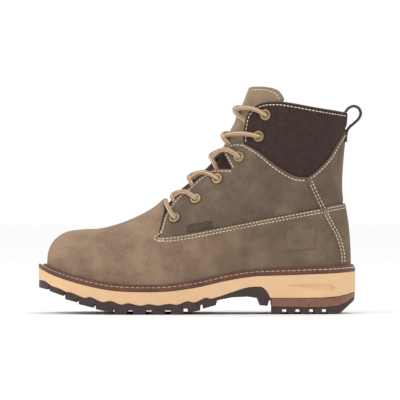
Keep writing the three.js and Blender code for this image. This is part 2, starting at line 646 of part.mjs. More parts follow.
// The storm welt: a strip on the edge of the midsole with a raised rib against the upper.
function welt() {
  const steps = 28;
  const rings = [];
  const section = (x) => {
    const out = weltReach(x);
    return [
      [WELT_GAP, CLEARANCE], [out - 0.2, CLEARANCE], [out - 0.2, WELT_THICKNESS - 0.9],
      [out - 1, WELT_THICKNESS], [3.4, WELT_THICKNESS], [2.9, WELT_RIB - 0.7], [2, WELT_RIB], [WELT_GAP, WELT_RIB],
    ];
  };
  const x0 = -137 * LONG;
  const x1 = backAt(40 * HIGH);
  for (const side of [-1, 1]) {
    for (let i = side < 0 ? 0 : 1; i < (side < 0 ? steps + 1 : steps); i++) {
      const s = side < 0 ? i / steps : 1 - i / steps;
      const x = x0 + ((x1 - x0) * (1 - Math.cos(Math.PI * s))) / 2;
      rings.push(section(x).map(([out, up]) => {
        const p = skin(x, soleLine(x) + 6, side, out);
        p.z = soleLine(p.x) + up;
        return p;
      }));
    }
  }
  return sweep(rings, true);
}

const insideBy = (inset) => () => -inset;
const FILLER_TOP = CLEARANCE + FILLER_THICKNESS;
const BOARD_FOOT = FILLER_TOP + CLEARANCE;
const BOARD_TOP = BOARD_FOOT + BOARD_THICKNESS;
const BED_FOOT = BOARD_TOP + CLEARANCE;
const BED_TOP = BED_FOOT + FOOTBED_THICKNESS;
const layer = (rim, low, high) => planCut(rim).intersect(sideCut(band(low, high)));

add("midsole", midsole(), "tan");
add("outsole", outsole(), "rubber");
add("heel_layer", heelLayer(), "heelLayer");
add("heel_tread", heelTread(), "rubber");
add("welt", welt(), "welt");

const boardRim = plan(6, insideBy(INSOLE_INSET + 1.2));
const shankBox = (grow) => [
  new THREE.Vector2(-12 * LONG - grow, -SHANK_WIDTH / 2 - grow - 3),
  new THREE.Vector2(88 * LONG + grow, -SHANK_WIDTH / 2 - grow),
  new THREE.Vector2(88 * LONG + grow, SHANK_WIDTH / 2 + grow),
  new THREE.Vector2(-12 * LONG - grow, SHANK_WIDTH / 2 + grow - 3),
];
const shankLow = CLEARANCE + 0.4;
const shankWell = planCut(shankBox(CLEARANCE)).intersect(sideCut(band(-1, 9)));
add("sole_filler", geometryFrom(layer(boardRim, CLEARANCE, FILLER_TOP).subtract(shankWell)), "cork");
const shankSolid = planCut(shankBox(0)).intersect(sideCut(band(shankLow, shankLow + SHANK_THICKNESS)));
add("steel_shank", geometryFrom(shankSolid), "steel");
add("insole_board", geometryFrom(layer(boardRim, BOARD_FOOT, BOARD_TOP)), "board");
const bedInset = (x, z) => -(liningDepth(x, z) + LINING + 1.9);
add("footbed", geometryFrom(layer(plan(10, bedInset), BED_FOOT, BED_TOP)), "foam");

// ---- Upper --------------------------------------------------------------------------------
const EYELETS = [[-20.7, 87.1], [-1.7, 104.3], [17.8, 122.4], [37.4, 142], [55.2, 160.6], [61.4, 180]];
const EYELET_OUTSIDE = EYELET_BORE / 2 + EYELET_WALL;
const SIDES = { lateral: -1, medial: 1 };

// A turn about Y's place on the skin: local +Y points out of the leather.
function onSkin(x, z, side) {
  const foot = skin(x, z, side);
  const out = skin(x, z, side, 1).sub(foot);
  const turn = new THREE.Quaternion().setFromUnitVectors(new THREE.Vector3(0, 1, 0), out);
  return new THREE.Matrix4().compose(foot, turn, new THREE.Vector3(1, 1, 1));
}

function punch(geometry, sides, holes) {
  let solid = solidOf(geometry);
  for (const side of sides) {
    for (const [x, z] of holes) {
      const p = at(x, z);
      const drill = new THREE.CylinderGeometry(EYELET_OUTSIDE + CLEARANCE, EYELET_OUTSIDE + CLEARANCE, 24, 8);
      solid = solid.subtract(solidOf(drill.applyMatrix4(onSkin(p.x, p.y, side))));
    }
  }
  return geometryFrom(solid);
}

add("vamp", sheet(vampPatch(), "both", 0, LEATHER), "leather");
add("heel_counter_cover", sheet(counterPatch(), "both", 0, LEATHER), "leather");
add("back_panel", sheet(backPanelPatch(), "both", 0, LEATHER), "leather");
const collar = sheet(collarPatch(), "both", 0, LEATHER);
add("collar_panel", punch(collar, [-1, 1], EYELETS.slice(4)), "darkLeather");
for (const [name, side] of Object.entries(SIDES)) {
  const quarter = sheet(quarterPatch(), side, 0, LEATHER, 1.5 * SEAM_GAP);
  add(`quarter_${name}`, punch(quarter, [side], EYELETS.slice(0, 4)), "leather");
}

// The steel toe cap and the soft strip behind its edge.
function capPatch(rear, front, rows, columns = 11) {
  const rearEdge = (x) => edge([[x, (soleLine(x * LONG) + UPPER_FOOT) / HIGH], [x, 52], onFrontX(x)]);
  const foot = (from, to) => (s) => aboveSole(UPPER_FOOT)((from + (to - from) * s) * LONG);
  const end = front === null ? foot(-119, -137) : rearEdge(front);
  const last = front === null ? -119 : front;
  const topZ = (x) => (front === null && x === null ? soleLine(-137 * LONG) + UPPER_FOOT : onFrontX(x)[1] * HIGH);
  return patch({
    bottom: rearEdge(rear),
    top: end,
    left: foot(rear, last),
    right: outline(FRONT, topZ(rear), topZ(front)),
    columns,
    rows,
  });
}
const frontAtX = heights(FRONT);
function onFrontX(x) {
  return [x, frontAtX(x * LONG) / HIGH];
}
add("steel_toe_cap", sheet(capPatch(-80, null, 10), "both", STIFFENER_DEPTH, TOE_STEEL, 0), "steel");
add("toe_cap_edge", sheet(capPatch(-79.2, -73, 1), "both", STIFFENER_DEPTH, TOE_PAD, 0), "plastic");

const boardPatch = patch({
  bottom: (s) => aboveSole(UPPER_FOOT)((80 + 59 * s) * LONG),
  top: edge([[84, 90], [110, 94.5], onBack(98)]),
  left: edge([[80, (soleLine(80 * LONG) + UPPER_FOOT) / HIGH], [80, 62], [84, 90]]),
  right: outline(BACK, soleLine(139 * LONG) + UPPER_FOOT, 98 * HIGH),
  columns: 8,
  rows: 6,
});
add("heel_stiffener", sheet(boardPatch, "both", STIFFENER_DEPTH, COUNTER_BOARD), "board");

// Linings, behind the same pieces of leather.
add("vamp_lining", sheet(vampPatch(), "both", liningDepth, LINING), "lining");
add("heel_lining", sheet(counterPatch(), "both", liningDepth, LINING), "lining");
for (const [name, side] of Object.entries(SIDES)) {
  const lining = sheet(quarterPatch(), side, liningDepth, LINING, 1.5 * SEAM_GAP);
  add(`quarter_lining_${name}`, punch(lining, [side], EYELETS.slice(0, 4)), "lining");
}
add("collar_lining", punch(sheet(collarPatch(), "both", liningDepth, LINING), [-1, 1], EYELETS.slice(4)), "lining");
add("back_lining", sheet(backPanelPatch(), "both", liningDepth, LINING), "lining");

const foamPatch = patch({
  bottom: edge([[80, 134], [96, 131.5], [116, 139], onBack(148)]),
  top: edge([[78, 177.5], [96, 177], onBack(175.5)]),
  left: edge([[80, 134], [78, 155], [78, 177.5]]),
  right: outline(BACK, 148 * HIGH, 175.5 * HIGH),
  columns: 10,
  rows: 5,
});
const foamDepth = (x, z) => Math.max(0.6, (COLLAR_FOAM + LAYER_GAP) * foamShare(x, z) - LAYER_GAP - 3 * CLEARANCE);
add("collar_foam", sheet(foamPatch, "both", UNDER_LEATHER, foamDepth), "foam");

// The tongue: a fixed lower part sewn in under the vamp and a padded upper part.
const TONGUE_JOIN = 139; // height of the fold on the front outline
const TONGUE_FOLD = [[9.1, 139], [22, 129], [31, 121]];
function tonguePatch(low, side, high, zLow, zHigh, columns, rows) {
  return patch({
    bottom: edge(reversed(low)),
    top: edge(reversed(high)),
    left: edge(side),
    right: outline(FRONT, zLow * HIGH, zHigh * HIGH),
    columns,
    rows,
  });
}
const foldLow = [onFront(TONGUE_JOIN - 0.6), [21.6, 128.4], [30.6, 120.4]];
const foldHigh = [onFront(TONGUE_JOIN + 0.6), [22.6, 129.8], [31.6, 121.8]];
const tongueFoot = [onFront(92), [-38, 82], [-30, 73]];
const tongueTop = [onFront(205.5), [52, 205.7], [65, 205], [73.5, 201.5], [78.6, 195]];
const lowSide = [[-30, 73], [-14, 84], [8, 101], [30.6, 120.4]];
const highSide = [[31.6, 121.8], [43, 133], [55, 152], [64, 170], [70, 181], [78.6, 195]];
const lowerTongue = tonguePatch(tongueFoot, lowSide, foldLow, 92, TONGUE_JOIN - 0.6, 6, 7);
const upperTongue = () => tonguePatch(foldHigh, highSide, tongueTop, TONGUE_JOIN + 0.6, 205.5, 7, 9);
const gussetDepth = (x, z) => tongueDepth(x, z) + 0.7;
add("tongue_gusset", sheet(lowerTongue, "both", gussetDepth, GUSSET + 0.6, 0), "darkLeather");
add("tongue_upper", sheet(upperTongue(), "both", tongueDepth, TONGUE_LEATHER, 0), "leather");
const foamUnder = (x, z) => tongueDepth(x, z) + TONGUE_LEATHER + CLEARANCE;
const foamSheet = sheet(upperTongue(), "both", foamUnder, TONGUE_FOAM, 5);
add("tongue_padding", foamSheet, "foam");
const liningUnder = (x, z) => foamUnder(x, z) + TONGUE_FOAM + CLEARANCE;
add("tongue_lining", sheet(upperTongue(), "both", liningUnder, LINING, 0), "lining");

// ---- Eyelets and lace ---------------------------------------------------------------------
function eyelet(x, z, side) {
  const bore = EYELET_BORE / 2;
  const foot = -EYELET_FOOT;
  const top = EYELET_RIM;
  const lip = EYELET_OUTSIDE + 0.5;
  const profile = [
    [bore + 0.4, foot], [lip, foot], [EYELET_OUTSIDE, foot + 0.5], [EYELET_OUTSIDE, 0.25],
    [EYELET_FLANGE / 2, 0.25], [EYELET_FLANGE / 2 - 0.7, top], [bore + 0.4, top], [bore, top - 0.9],
    [bore, foot + 1], [bore + 0.4, foot],
  ].map(([r, h]) => new THREE.Vector2(r, h));
  const ring = new THREE.LatheGeometry(profile, 8);
  ring.deleteAttribute("uv");
  ring.deleteAttribute("normal");
  return mergeVertices(ring.applyMatrix4(onSkin(x, z, side)), 1e-4);
}
for (const [name, side] of Object.entries(SIDES)) {
  EYELETS.forEach(([x, z], i) => {
    const p = at(x, z);
    add(`eyelet_${name}_${i + 1}`, eyelet(p.x, p.y, side), "brass");
  });
}

// Where the two strands that leave eyelets k cross on the front, k = 6 first.
const CROSSINGS = [[33.5, 185], [23, 161], [11.8, 138], [-6, 121], [-22.5, 106.5]];
const LACE_OVER = LACE_DIAMETER / 2 + CLEARANCE; // height of a strand on the leather
const LACE_START = [5.5, -6.5]; // from eyelet 6 to where the laced part meets the tucked-in tail
const laceAt = (x, z, side, lift) => skin(x * LONG, z * HIGH, side, lift);

// Up through an eyelet, from the bed under the lining to the outside.
function throughEyelet(points, [x, z], side) {
  for (const lift of [-LACE_BED - 0.3, -3, EYELET_RIM + 0.5]) points.push(laceAt(x, z, side, lift));
}

// From inside eyelet 6 of one side down to eyelet 1, changing sides at each level.
function laceHalf(side, over) {
  const points = [];
  let here = side;
  const put = ([x, z], lift) => points.push(laceAt(x, z, here, lift));
  const between = (a, b, t, rise = 0) => [a[0] + (b[0] - a[0]) * t, a[1] + (b[1] - a[1]) * t + rise];
  put([EYELETS[5][0] + LACE_START[0], EYELETS[5][1] + LACE_START[1]], -LACE_BED);
  for (let k = 5; k >= 1; k--) {
    const nose = onFront(CROSSINGS[5 - k][1]);
    const lift = over === (k % 2 === 0) ? LACE_DIAMETER + 0.4 : 0;
    throughEyelet(points, EYELETS[k], here);
    put(between(EYELETS[k], nose, 0.14, 0.4), LACE_OVER + 1.8);
    put(between(EYELETS[k], nose, 0.42, 0.8), LACE_OVER + 0.8);
    put(between(EYELETS[k], nose, 0.68, 0.7), LACE_OVER - 0.4 + lift * 0.3);
    put(between(EYELETS[k], nose, 0.9, 0.3), LACE_OVER - 1.6 + lift * 0.8);
    put(nose, LACE_OVER - TONGUE_FRONT + 0.7 + lift);
    here = -here;
    put(between(nose, EYELETS[k - 1], 0.12), LACE_OVER - TONGUE_FRONT + 0.4 + lift * 0.7);
    put(between(nose, EYELETS[k - 1], 0.36), -LACE_BED);
    put(between(nose, EYELETS[k - 1], 0.62), -LACE_BED - 0.2);
    put(between(nose, EYELETS[k - 1], 0.84), -LACE_BED - 0.4);
  }
  throughEyelet(points, EYELETS[0], here);
  put([-22.3, 89.6], LACE_OVER + 1.5);
  put([-25.5, 93.6], LACE_OVER + 0.5);
  put([-29.6, 98.8], LACE_OVER + 0.8);
  return points;
}
const barNose = onFront(102.5);
const lacePoints = [...laceHalf(-1, true), laceAt(...barNose, 1, LACE_OVER + 1), ...laceHalf(1, false).reverse()];
add("lace", cord(lacePoints, LACE_DIAMETER / 2), "lace");

// The free ends run down between tongue and lining and lie along the edge of the footbed.
const TAIL_RUN = [
  [67.2, 170], [68.2, 158], [68.8, 144], [69.6, 130], [71.2, 117], [72.2, 104], [72.6, 92], [72, 80], [70, 69],
  [65.5, 58.5],
];
const TAIL_REST = [57, 46, 34, 22, 10, -2]; // places along X on the footbed
const tailLift = BED_TOP + LACE_DIAMETER / 2 + 0.9;
const tailDepth = (x, z) => liningDepth(x, z) + LINING + LACE_DIAMETER / 2 + 1;
for (const [name, side] of Object.entries(SIDES)) {
  const start = [EYELETS[5][0] + LACE_START[0] * 1.3, EYELETS[5][1] + LACE_START[1] * 1.3];
  const points = [laceAt(...start, side, -LACE_BED)];
  const inside = (x, z) => points.push(skin(x, z, side, -tailDepth(x, z)));
  for (const [x, z] of TAIL_RUN) inside(x * LONG, z * HIGH);
  for (const x of TAIL_REST) inside(x * LONG, soleLine(x * LONG) + tailLift);
  add(`lace_tail_${name}`, cord(points, LACE_DIAMETER / 2), "lace");
  const [before, end] = points.slice(-2);
  const on = end.clone().sub(before).normalize();
  const rod = [0.4, AGLET_LENGTH].map((far) => end.clone().addScaledVector(on, far));
  add(`aglet_${name}`, cord(rod, LACE_DIAMETER / 2 - AGLET_WALL), "plastic");
}

// The pull loop: a free bight over a tab that is sewn flat to the back.
const STRAP = [
  [136.4, 183.9], [138.4, 186.2], [142.3, 187.7], [146.6, 186.2], [148.4, 181.8], [147, 176.6], [143.4, 172.4],
  [139.8, 168.6], [137.6, 164.4], [136.6, 159], [136.2, 156.5],
];
const STRAP_SPLIT = 0.68; // share of the strap that is free
const STRAP_GAP = 0.02;
const strapLine = curve(drawn(STRAP).map((p) => p.add(new THREE.Vector2(LOOP_STANDOFF, 0))));
function strap(from, to, steps) {
  const edgeAt = (offset) => Array.from({ length: steps + 1 }, (_, i) => {
    const u = from + ((to - from) * i) / steps;
    const [p, t] = [strapLine.getPointAt(u), strapLine.getTangentAt(u)];
    return new THREE.Vector2(p.x + t.y * offset, p.y - t.x * offset);
  });
  const rim = [...edgeAt(LOOP_THICKNESS / 2), ...edgeAt(-LOOP_THICKNESS / 2).reverse()];
  return prism(rim, -LOOP_WIDTH / 2, LOOP_WIDTH / 2, "y");
}
add("pull_loop", strap(0, STRAP_SPLIT, 18), "leather");
add("pull_loop_tab", strap(STRAP_SPLIT + STRAP_GAP, 1, 6), "leather");

const tagPatch = patch({
  bottom: edge([[-9, 74], [14, 78.2]]),
  top: edge([[-10, 80.4], [13, 84.6]]),
  left: edge([[-9, 74], [-10, 80.4]]),
  right: edge([[14, 78.2], [13, 84.6]]),
  columns: 3,
  rows: 1,
  spread: even,
});
add("side_tag", sheet(tagPatch, -1, -(CLEARANCE + 0.2 + 0.9), 0.9, 0), "darkLeather");

// ---- Place the boot over the origin -------------------------------------------------------
boot.updateMatrixWorld(true);
const box = new THREE.Box3().setFromObject(boot, true);
const centre = box.getCenter(new THREE.Vector3());
body.position.set(-centre.x, -centre.y, -box.min.z);
boot.updateMatrixWorld(true);

export default boot;
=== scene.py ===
"""A lace-up work boot with a steel toe cap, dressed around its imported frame.

Lengths are worked out in millimetres in the drawing frame of the upper and put into the
meshes in metres. The upper is one smooth skin: a side view with a width for every point.
"""

import logging
import math
from dataclasses import dataclass, field
from enum import Enum
from typing import Callable, Iterable, Sequence

import bpy
import numpy as np
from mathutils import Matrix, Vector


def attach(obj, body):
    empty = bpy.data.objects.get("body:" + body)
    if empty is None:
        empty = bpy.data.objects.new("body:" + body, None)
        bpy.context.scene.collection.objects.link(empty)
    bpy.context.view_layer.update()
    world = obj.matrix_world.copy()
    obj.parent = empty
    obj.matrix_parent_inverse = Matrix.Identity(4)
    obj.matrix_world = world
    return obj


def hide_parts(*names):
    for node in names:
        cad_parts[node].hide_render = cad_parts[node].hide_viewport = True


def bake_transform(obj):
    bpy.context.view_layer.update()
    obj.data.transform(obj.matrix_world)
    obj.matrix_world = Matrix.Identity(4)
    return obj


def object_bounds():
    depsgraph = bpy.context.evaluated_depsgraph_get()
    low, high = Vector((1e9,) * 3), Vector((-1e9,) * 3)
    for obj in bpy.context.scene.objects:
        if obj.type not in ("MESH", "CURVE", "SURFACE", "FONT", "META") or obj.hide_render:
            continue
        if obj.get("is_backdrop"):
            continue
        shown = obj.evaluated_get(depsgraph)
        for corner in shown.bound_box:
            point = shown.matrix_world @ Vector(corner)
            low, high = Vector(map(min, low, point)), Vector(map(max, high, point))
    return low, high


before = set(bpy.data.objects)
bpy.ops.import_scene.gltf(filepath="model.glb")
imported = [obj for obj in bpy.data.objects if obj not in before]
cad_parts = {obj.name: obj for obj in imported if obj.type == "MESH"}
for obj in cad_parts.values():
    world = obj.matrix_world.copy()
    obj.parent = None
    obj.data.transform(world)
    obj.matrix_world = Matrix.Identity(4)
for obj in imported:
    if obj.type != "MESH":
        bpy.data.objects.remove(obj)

LOG = logging.getLogger("boot")
Array = np.ndarray
Points = Sequence[tuple[float, float]]

MM = 0.001
SHIFT = np.array([-2.821, 0.0756, 0.0])  # from the drawing frame to the frame of the part
CAD_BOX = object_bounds()


class Side(Enum):
    """Which half of the boot a leather covers."""

    LATERAL = -1
    MEDIAL = 1
    BOTH = 0


# ---- Curves of the side view ----------------------------------------------------------------

FRONT: Points = (
    (-137, 20), (-137, 34), (-137, 47), (-135.5, 57), (-130, 66.5), (-119, 73.8), (-104, 76), (-88, 76.8),
    (-72, 81), (-57, 87), (-43, 94), (-31, 103), (-16, 117.5), (-3, 129.5), (9, 141), (18.5, 153.5),
    (25, 167), (31, 181), (36.5, 195), (42, 209),
)
BACK: Points = (
    (139, 20), (139.2, 36), (139.2, 52), (138.4, 70), (135.8, 90), (132.4, 105.5), (131.8, 122),
    (133.2, 142), (135, 160), (137, 184),
)
SOLE_LINE: Points = (
    (-150, 44.5), (-136, 37.2), (-120, 31.3), (-98, 25.4), (-76, 21.4), (-50, 20.2), (-25, 20.9), (0, 24.4),
    (25, 30), (50, 34), (75, 35), (100, 35.9), (125, 37), (150, 38.8),
)
FOOT_HALF: Points = (
    (-150, 45.5), (-110, 44.5), (-90, 46), (-65, 47.5), (-40, 45.5), (-10, 40.5), (20, 36), (50, 33.2),
    (80, 33), (110, 33.5), (150, 33.5),
)
FOOT_CENTRE: Points = (
    (-150, 5.5), (-110, 3.5), (-90, 1.8), (-65, -0.5), (-40, -2.2), (-10, -4), (20, -4.2), (50, -2.5),
    (80, -0.7), (110, 0), (150, 0),
)
SHAFT_HALF: Points = ((0, 35), (100, 35), (120, 34.5), (150, 35.5), (185, 37.5), (215, 38))
FRONT_ROUND: Points = ((0, 45), (75, 45), (95, 50), (120, 57), (150, 55), (215, 50))
BACK_ROUND: Points = ((0, 30), (80, 30), (115, 42), (150, 44), (215, 44))
WELT_REACH: Points = ((-150, 8), (-100, 7), (0, 6.5), (60, 6), (110, 5), (150, 4.3))


def catmull_rom(points: Points | Array, samples: int = 700) -> Array:
    """Sample a uniform Catmull-Rom curve through points.

    Args:
        points: two or more points of the same size.
        samples: how many samples to take.

    Returns:
        An array of samples, evenly spaced in the curve's own parameter.
    """
    knots = np.asarray(points, float)
    padded = np.vstack([knots[:1], knots, knots[-1:]])
    t = np.linspace(0, len(knots) - 1, samples)
    i = np.minimum(t.astype(int), len(knots) - 2)
    w = (t - i)[:, None]
    p0, p1, p2, p3 = (padded[i + k] for k in range(4))
    v0, v1 = (p2 - p0) / 2, (p3 - p1) / 2
    return (2 * p1 - 2 * p2 + v0 + v1) * w**3 + (3 * p2 - 3 * p1 - 2 * v0 - v1) * w**2 + v0 * w + p1


class Line:
    """A smooth line of the side view, read by its share of length from 0 to 1."""

    def __init__(self, points: Points | Array, samples: int = 700) -> None:
        """Sample the line.

        Args:
            points: the points that it passes through, in millimetres.
            samples: how many samples to keep.
        """
        self.xy = catmull_rom(points, samples)
        steps = np.linalg.norm(np.diff(self.xy, axis=0), axis=1)
        self.length = float(steps.sum())
        self.share = np.concatenate([[0.0], np.cumsum(steps)]) / self.length

    def __call__(self, s: Array) -> Array:
        """Return the points at shares s."""
        s = np.asarray(s, float)
        return np.stack([np.interp(s, self.share, self.xy[:, k]) for k in (0, 1)], axis=-1)

    def between(self, low: float, high: float) -> Callable[[Array], Array]:
        """Return the stretch of the line between two heights, which may run downwards."""
        a, b = (float(np.interp(z, self.xy[:, 1], self.share)) for z in (low, high))
        return lambda s: self(a + (b - a) * np.asarray(s, float))

    def x_at(self, z: float) -> float:
        """Return the line's place along X at a height."""
        return float(np.interp(z, self.xy[:, 1], self.xy[:, 0]))


def table(points: Points) -> Callable[[Array], Array]:
    """Return a smooth function through (argument, value) points."""
    curve = catmull_rom(points, 1200)
    return lambda u: np.interp(u, curve[:, 0], curve[:, 1])


def smooth(t: Array) -> Array:
    """Return the smoothstep of t: 0 up to 0, 1 from 1, and 3t^2 - 2t^3 between."""
    u = np.clip(t, 0, 1)
    return u * u * (3 - 2 * u)


def span(value: Array, low: float, high: float) -> Array:
    """Return a smooth ramp that is 0 at low and 1 at high."""
    return smooth((np.asarray(value, float) - low) / (high - low))


def away(xz: Array, line: Array) -> tuple[Array, Array]:
    """Return each point's distance to a polyline and the side that it lies on.

    Args:
        xz: points of the side view, shape (..., 2).
        line: the polyline's corners, shape (m, 2).

    Returns:
        Distances and signs, each of the shape of xz without its last axis.
    """
    flat = xz.reshape(-1, 2)
    start, run = line[:-1], np.diff(line, axis=0)
    size = np.maximum((run**2).sum(1), 1e-12)
    far = np.empty(len(flat))
    sign = np.empty(len(flat))
    for block in range(0, len(flat), 6000):
        rel = flat[block : block + 6000, None] - start
        t = np.clip((rel * run).sum(-1) / size, 0, 1)[..., None]
        d2 = ((rel - t * run) ** 2).sum(-1)
        k = d2.argmin(1)
        rows = np.arange(len(k))
        far[block : block + 6000] = np.sqrt(d2[rows, k])
        near = rel[rows, k]
        sign[block : block + 6000] = np.sign(near[:, 0] * run[k, 1] - near[:, 1] * run[k, 0] + 1e-12)
    return far.reshape(xz.shape[:-1]), sign.reshape(xz.shape[:-1])


class Skin:
    """The outer surface of the upper: at (x, z) its half-width is W sqrt(S).

    S is 0 on the front and back outlines and 1 well inside them. On the way it is the square
    of a quarter circle's height over the distance to each outline. Away from the outlines S is
    blurred, so that no ridge shows where the nearest place on an outline jumps.
    """

    def __init__(self) -> None:
        """Sample the outlines and blur the inner part of S."""
        self.front, self.back, self.sole = Line(FRONT), Line(BACK), Line(SOLE_LINE)
        self.foot_half, self.foot_centre = table(FOOT_HALF), table(FOOT_CENTRE)
        self.shaft_half, self.welt_reach = table(SHAFT_HALF), table(WELT_REACH)
        self.front_round, self.back_round = table(FRONT_ROUND), table(BACK_ROUND)
        self.front_poly = catmull_rom(FRONT, 121)
        self.back_poly = catmull_rom(BACK, 91)
        self.pitch = 2.0
        self.low = np.array([-150.0, 10.0])
        xs = np.arange(-150, 152, self.pitch)
        zs = np.arange(10, 216, self.pitch)
        grid = np.stack(np.meshgrid(xs, zs, indexing="ij"), axis=-1)
        exact = np.clip(self._exact(grid)[0], -0.4, 1)
        self.blurred = self._blur(len(xs), 3.4) @ exact @ self._blur(len(zs), 3.4).T

    @staticmethod
    def _blur(count: int, cells: float) -> Array:
        """Return the matrix of a Gaussian blur of a width in cells.

        Args:
            count: the side of the matrix.
            cells: the standard deviation, in cells.

        Returns:
            A square matrix whose rows add up to 1.
        """
        i = np.arange(count)
        weights = np.exp(-((i[:, None] - i) ** 2) / (2 * cells**2))
        return weights / weights.sum(1, keepdims=True)

    def sole_z(self, x: Array) -> Array:
        """Return the height of the midsole's top at x."""
        return np.interp(x, self.sole.xy[:, 0], self.sole.xy[:, 1])

    def depth(self, xz: Array) -> tuple[Array, Array]:
        """Return signed distances inside the front and the back outline."""
        (df, sf), (db, sb) = away(xz, self.front_poly), away(xz, self.back_poly)
        return df * sf, -db * sb

    def _exact(self, xz: Array) -> tuple[Array, Array]:
        """Return S before it is blurred, and the distance to the nearer outline.

        Args:
            xz: points of the side view.

        Returns:
            S and the distance, in millimetres.
        """
        df, db = self.depth(xz)
        z = xz[..., 1]
        rise = lambda t: np.where(t < 1, t * (2 - t), 1.0)
        return rise(df / self.front_round(z)) * rise(db / self.back_round(z)), np.minimum(df, db)

    def _read(self, xz: Array) -> Array:
        """Return the blurred S by cubic interpolation of its grid.

        Args:
            xz: points of the side view.

        Returns:
            S at each point.
        """
        g = (xz - self.low) / self.pitch
        i = np.clip(np.floor(g).astype(int), 1, np.array(self.blurred.shape) - 3)
        f = g - i
        total = np.zeros(xz.shape[:-1])
        cubic = lambda w: ((-w + 2 * w**2 - w**3) / 2, (2 - 5 * w**2 + 3 * w**3) / 2,
                           (w + 4 * w**2 - 3 * w**3) / 2, (-(w**2) + w**3) / 2)
        wx, wz = cubic(f[..., 0]), cubic(f[..., 1])
        for a in range(4):
            for b in range(4):
                total += wx[a] * wz[b] * self.blurred[i[..., 0] + a - 1, i[..., 1] + b - 1]
        return total

    def shape(self, xz: Array) -> Array:
        """Return S at points of the side view.

        Args:
            xz: points of the side view.

        Returns:
            S, from 0 at the outlines to 1 inside.
        """
        exact, near = self._exact(xz)
        keep = span(near, 5, 15)
        return exact + keep * (np.minimum(self._read(xz), 1) - exact)

    def _shaft(self, z: Array) -> Array:
        """Return the share of the shaft in the plan, which rises from foot to ankle."""
        return smooth((z - 55) / 70)

    def half(self, xz: Array) -> Array:
        """Return W, the full half-width at points of the side view."""
        x, z = xz[..., 0], xz[..., 1]
        return self.foot_half(x) + (self.shaft_half(z) - self.foot_half(x)) * self._shaft(z)

    def centre(self, xz: Array) -> Array:
        """Return the centre line's place along Y at points of the side view."""
        return self.foot_centre(xz[..., 0]) * (1 - self._shaft(xz[..., 1]))

    def point(self, xz: Array, side: float, lift: Array | float = 0.0) -> Array:
        """Return points of one half of the skin, moved out along its normal by lift."""
        place, normal = self.frame(xz, side)
        return place + normal * np.asarray(lift, float)[..., None]

    def frame(self, xz: Array, side: float) -> tuple[Array, Array]:
        """Return points of one half of the skin and the normals there.

        Args:
            xz: points of the side view.
            side: -1 for the lateral half and +1 for the medial one.

        Returns:
            Points and unit normals, each of shape (..., 3).
        """
        xz = np.asarray(xz, float)
        h = 0.3
        half, centre = self.half(xz), self.centre(xz)
        y = side * half * np.sqrt(np.maximum(self.shape(xz), 0))
        slope = 2 * y / half**2
        gradient = []
        for axis in (0, 1):
            step = np.zeros(2)
            step[axis] = h
            up, down = xz + step, xz - step
            level = ((y / self.half(up)) ** 2 - self.shape(up)) - ((y / self.half(down)) ** 2 - self.shape(down))
            lean = self.centre(up) - self.centre(down)
            gradient.append(level / (2 * h) - slope * lean / (2 * h))
        normal = np.stack([gradient[0], slope, gradient[1]], axis=-1)
        normal /= np.maximum(np.linalg.norm(normal, axis=-1, keepdims=True), 1e-9)
        place = np.stack([xz[..., 0], centre + y, xz[..., 1]], axis=-1)
        return place, normal


SKIN = Skin()

# ---- Meshes ---------------------------------------------------------------------------------


def grid_faces(rows: int, columns: int, start: int = 0, closed: bool = False) -> Array:
    """Return the quads of a grid of vertices stored row by row.

    Args:
        rows: vertices from first to last row.
        columns: vertices in a row.
        start: index of the grid's first vertex.
        closed: whether each row closes on itself.

    Returns:
        Quads, one row of four indices each.
    """
    r = np.arange(rows - 1)[:, None]
    c = np.arange(columns if closed else columns - 1)[None]
    d = (c + 1) % columns
    quads = np.stack([r * columns + c, r * columns + d, (r + 1) * columns + d, (r + 1) * columns + c], axis=-1)
    return quads.reshape(-1, 4) + start


def slab(outer: Array, inner: Array) -> tuple[Array, Array, Array]:
    """Return a closed solid between two grids of the same shape.

    Args:
        outer: the outer grid, shape (rows, columns, 3).
        inner: the inner grid, of the same shape.

    Returns:
        Vertices, quads, and for each quad 0 outside, 1 inside or 2 on the rim.
    """
    rows, columns = outer.shape[:2]
    count = rows * columns
    verts = np.concatenate([outer.reshape(-1, 3), inner.reshape(-1, 3)])
    top = grid_faces(rows, columns)
    bottom = grid_faces(rows, columns, count)[:, ::-1]
    index = np.arange(count).reshape(rows, columns)
    border = np.concatenate([index[0, :-1], index[:-1, -1], index[-1, :0:-1], index[:0:-1, 0]])
    after = np.roll(border, -1)
    rim = np.stack([after, border, border + count, after + count], axis=-1)
    kind = np.repeat([0, 1, 2], [len(top), len(bottom), len(rim)])
    return verts, np.concatenate([top, bottom, rim]), kind


def outward(verts: Array, faces: Array) -> Array:
    """Return the quads of a closed mesh turned to face outwards, judged by its volume.

    Args:
        verts: vertices.
        faces: quads; a repeated last corner marks a triangle.

    Returns:
        The quads, all turned or all left.
    """
    a, b, c, d = (verts[faces[:, k]] for k in range(4))
    volume = (a * np.cross(b, c)).sum() + (a * np.cross(c, d)).sum()
    return faces if volume > 0 else faces[:, [1, 0, 3, 2]]


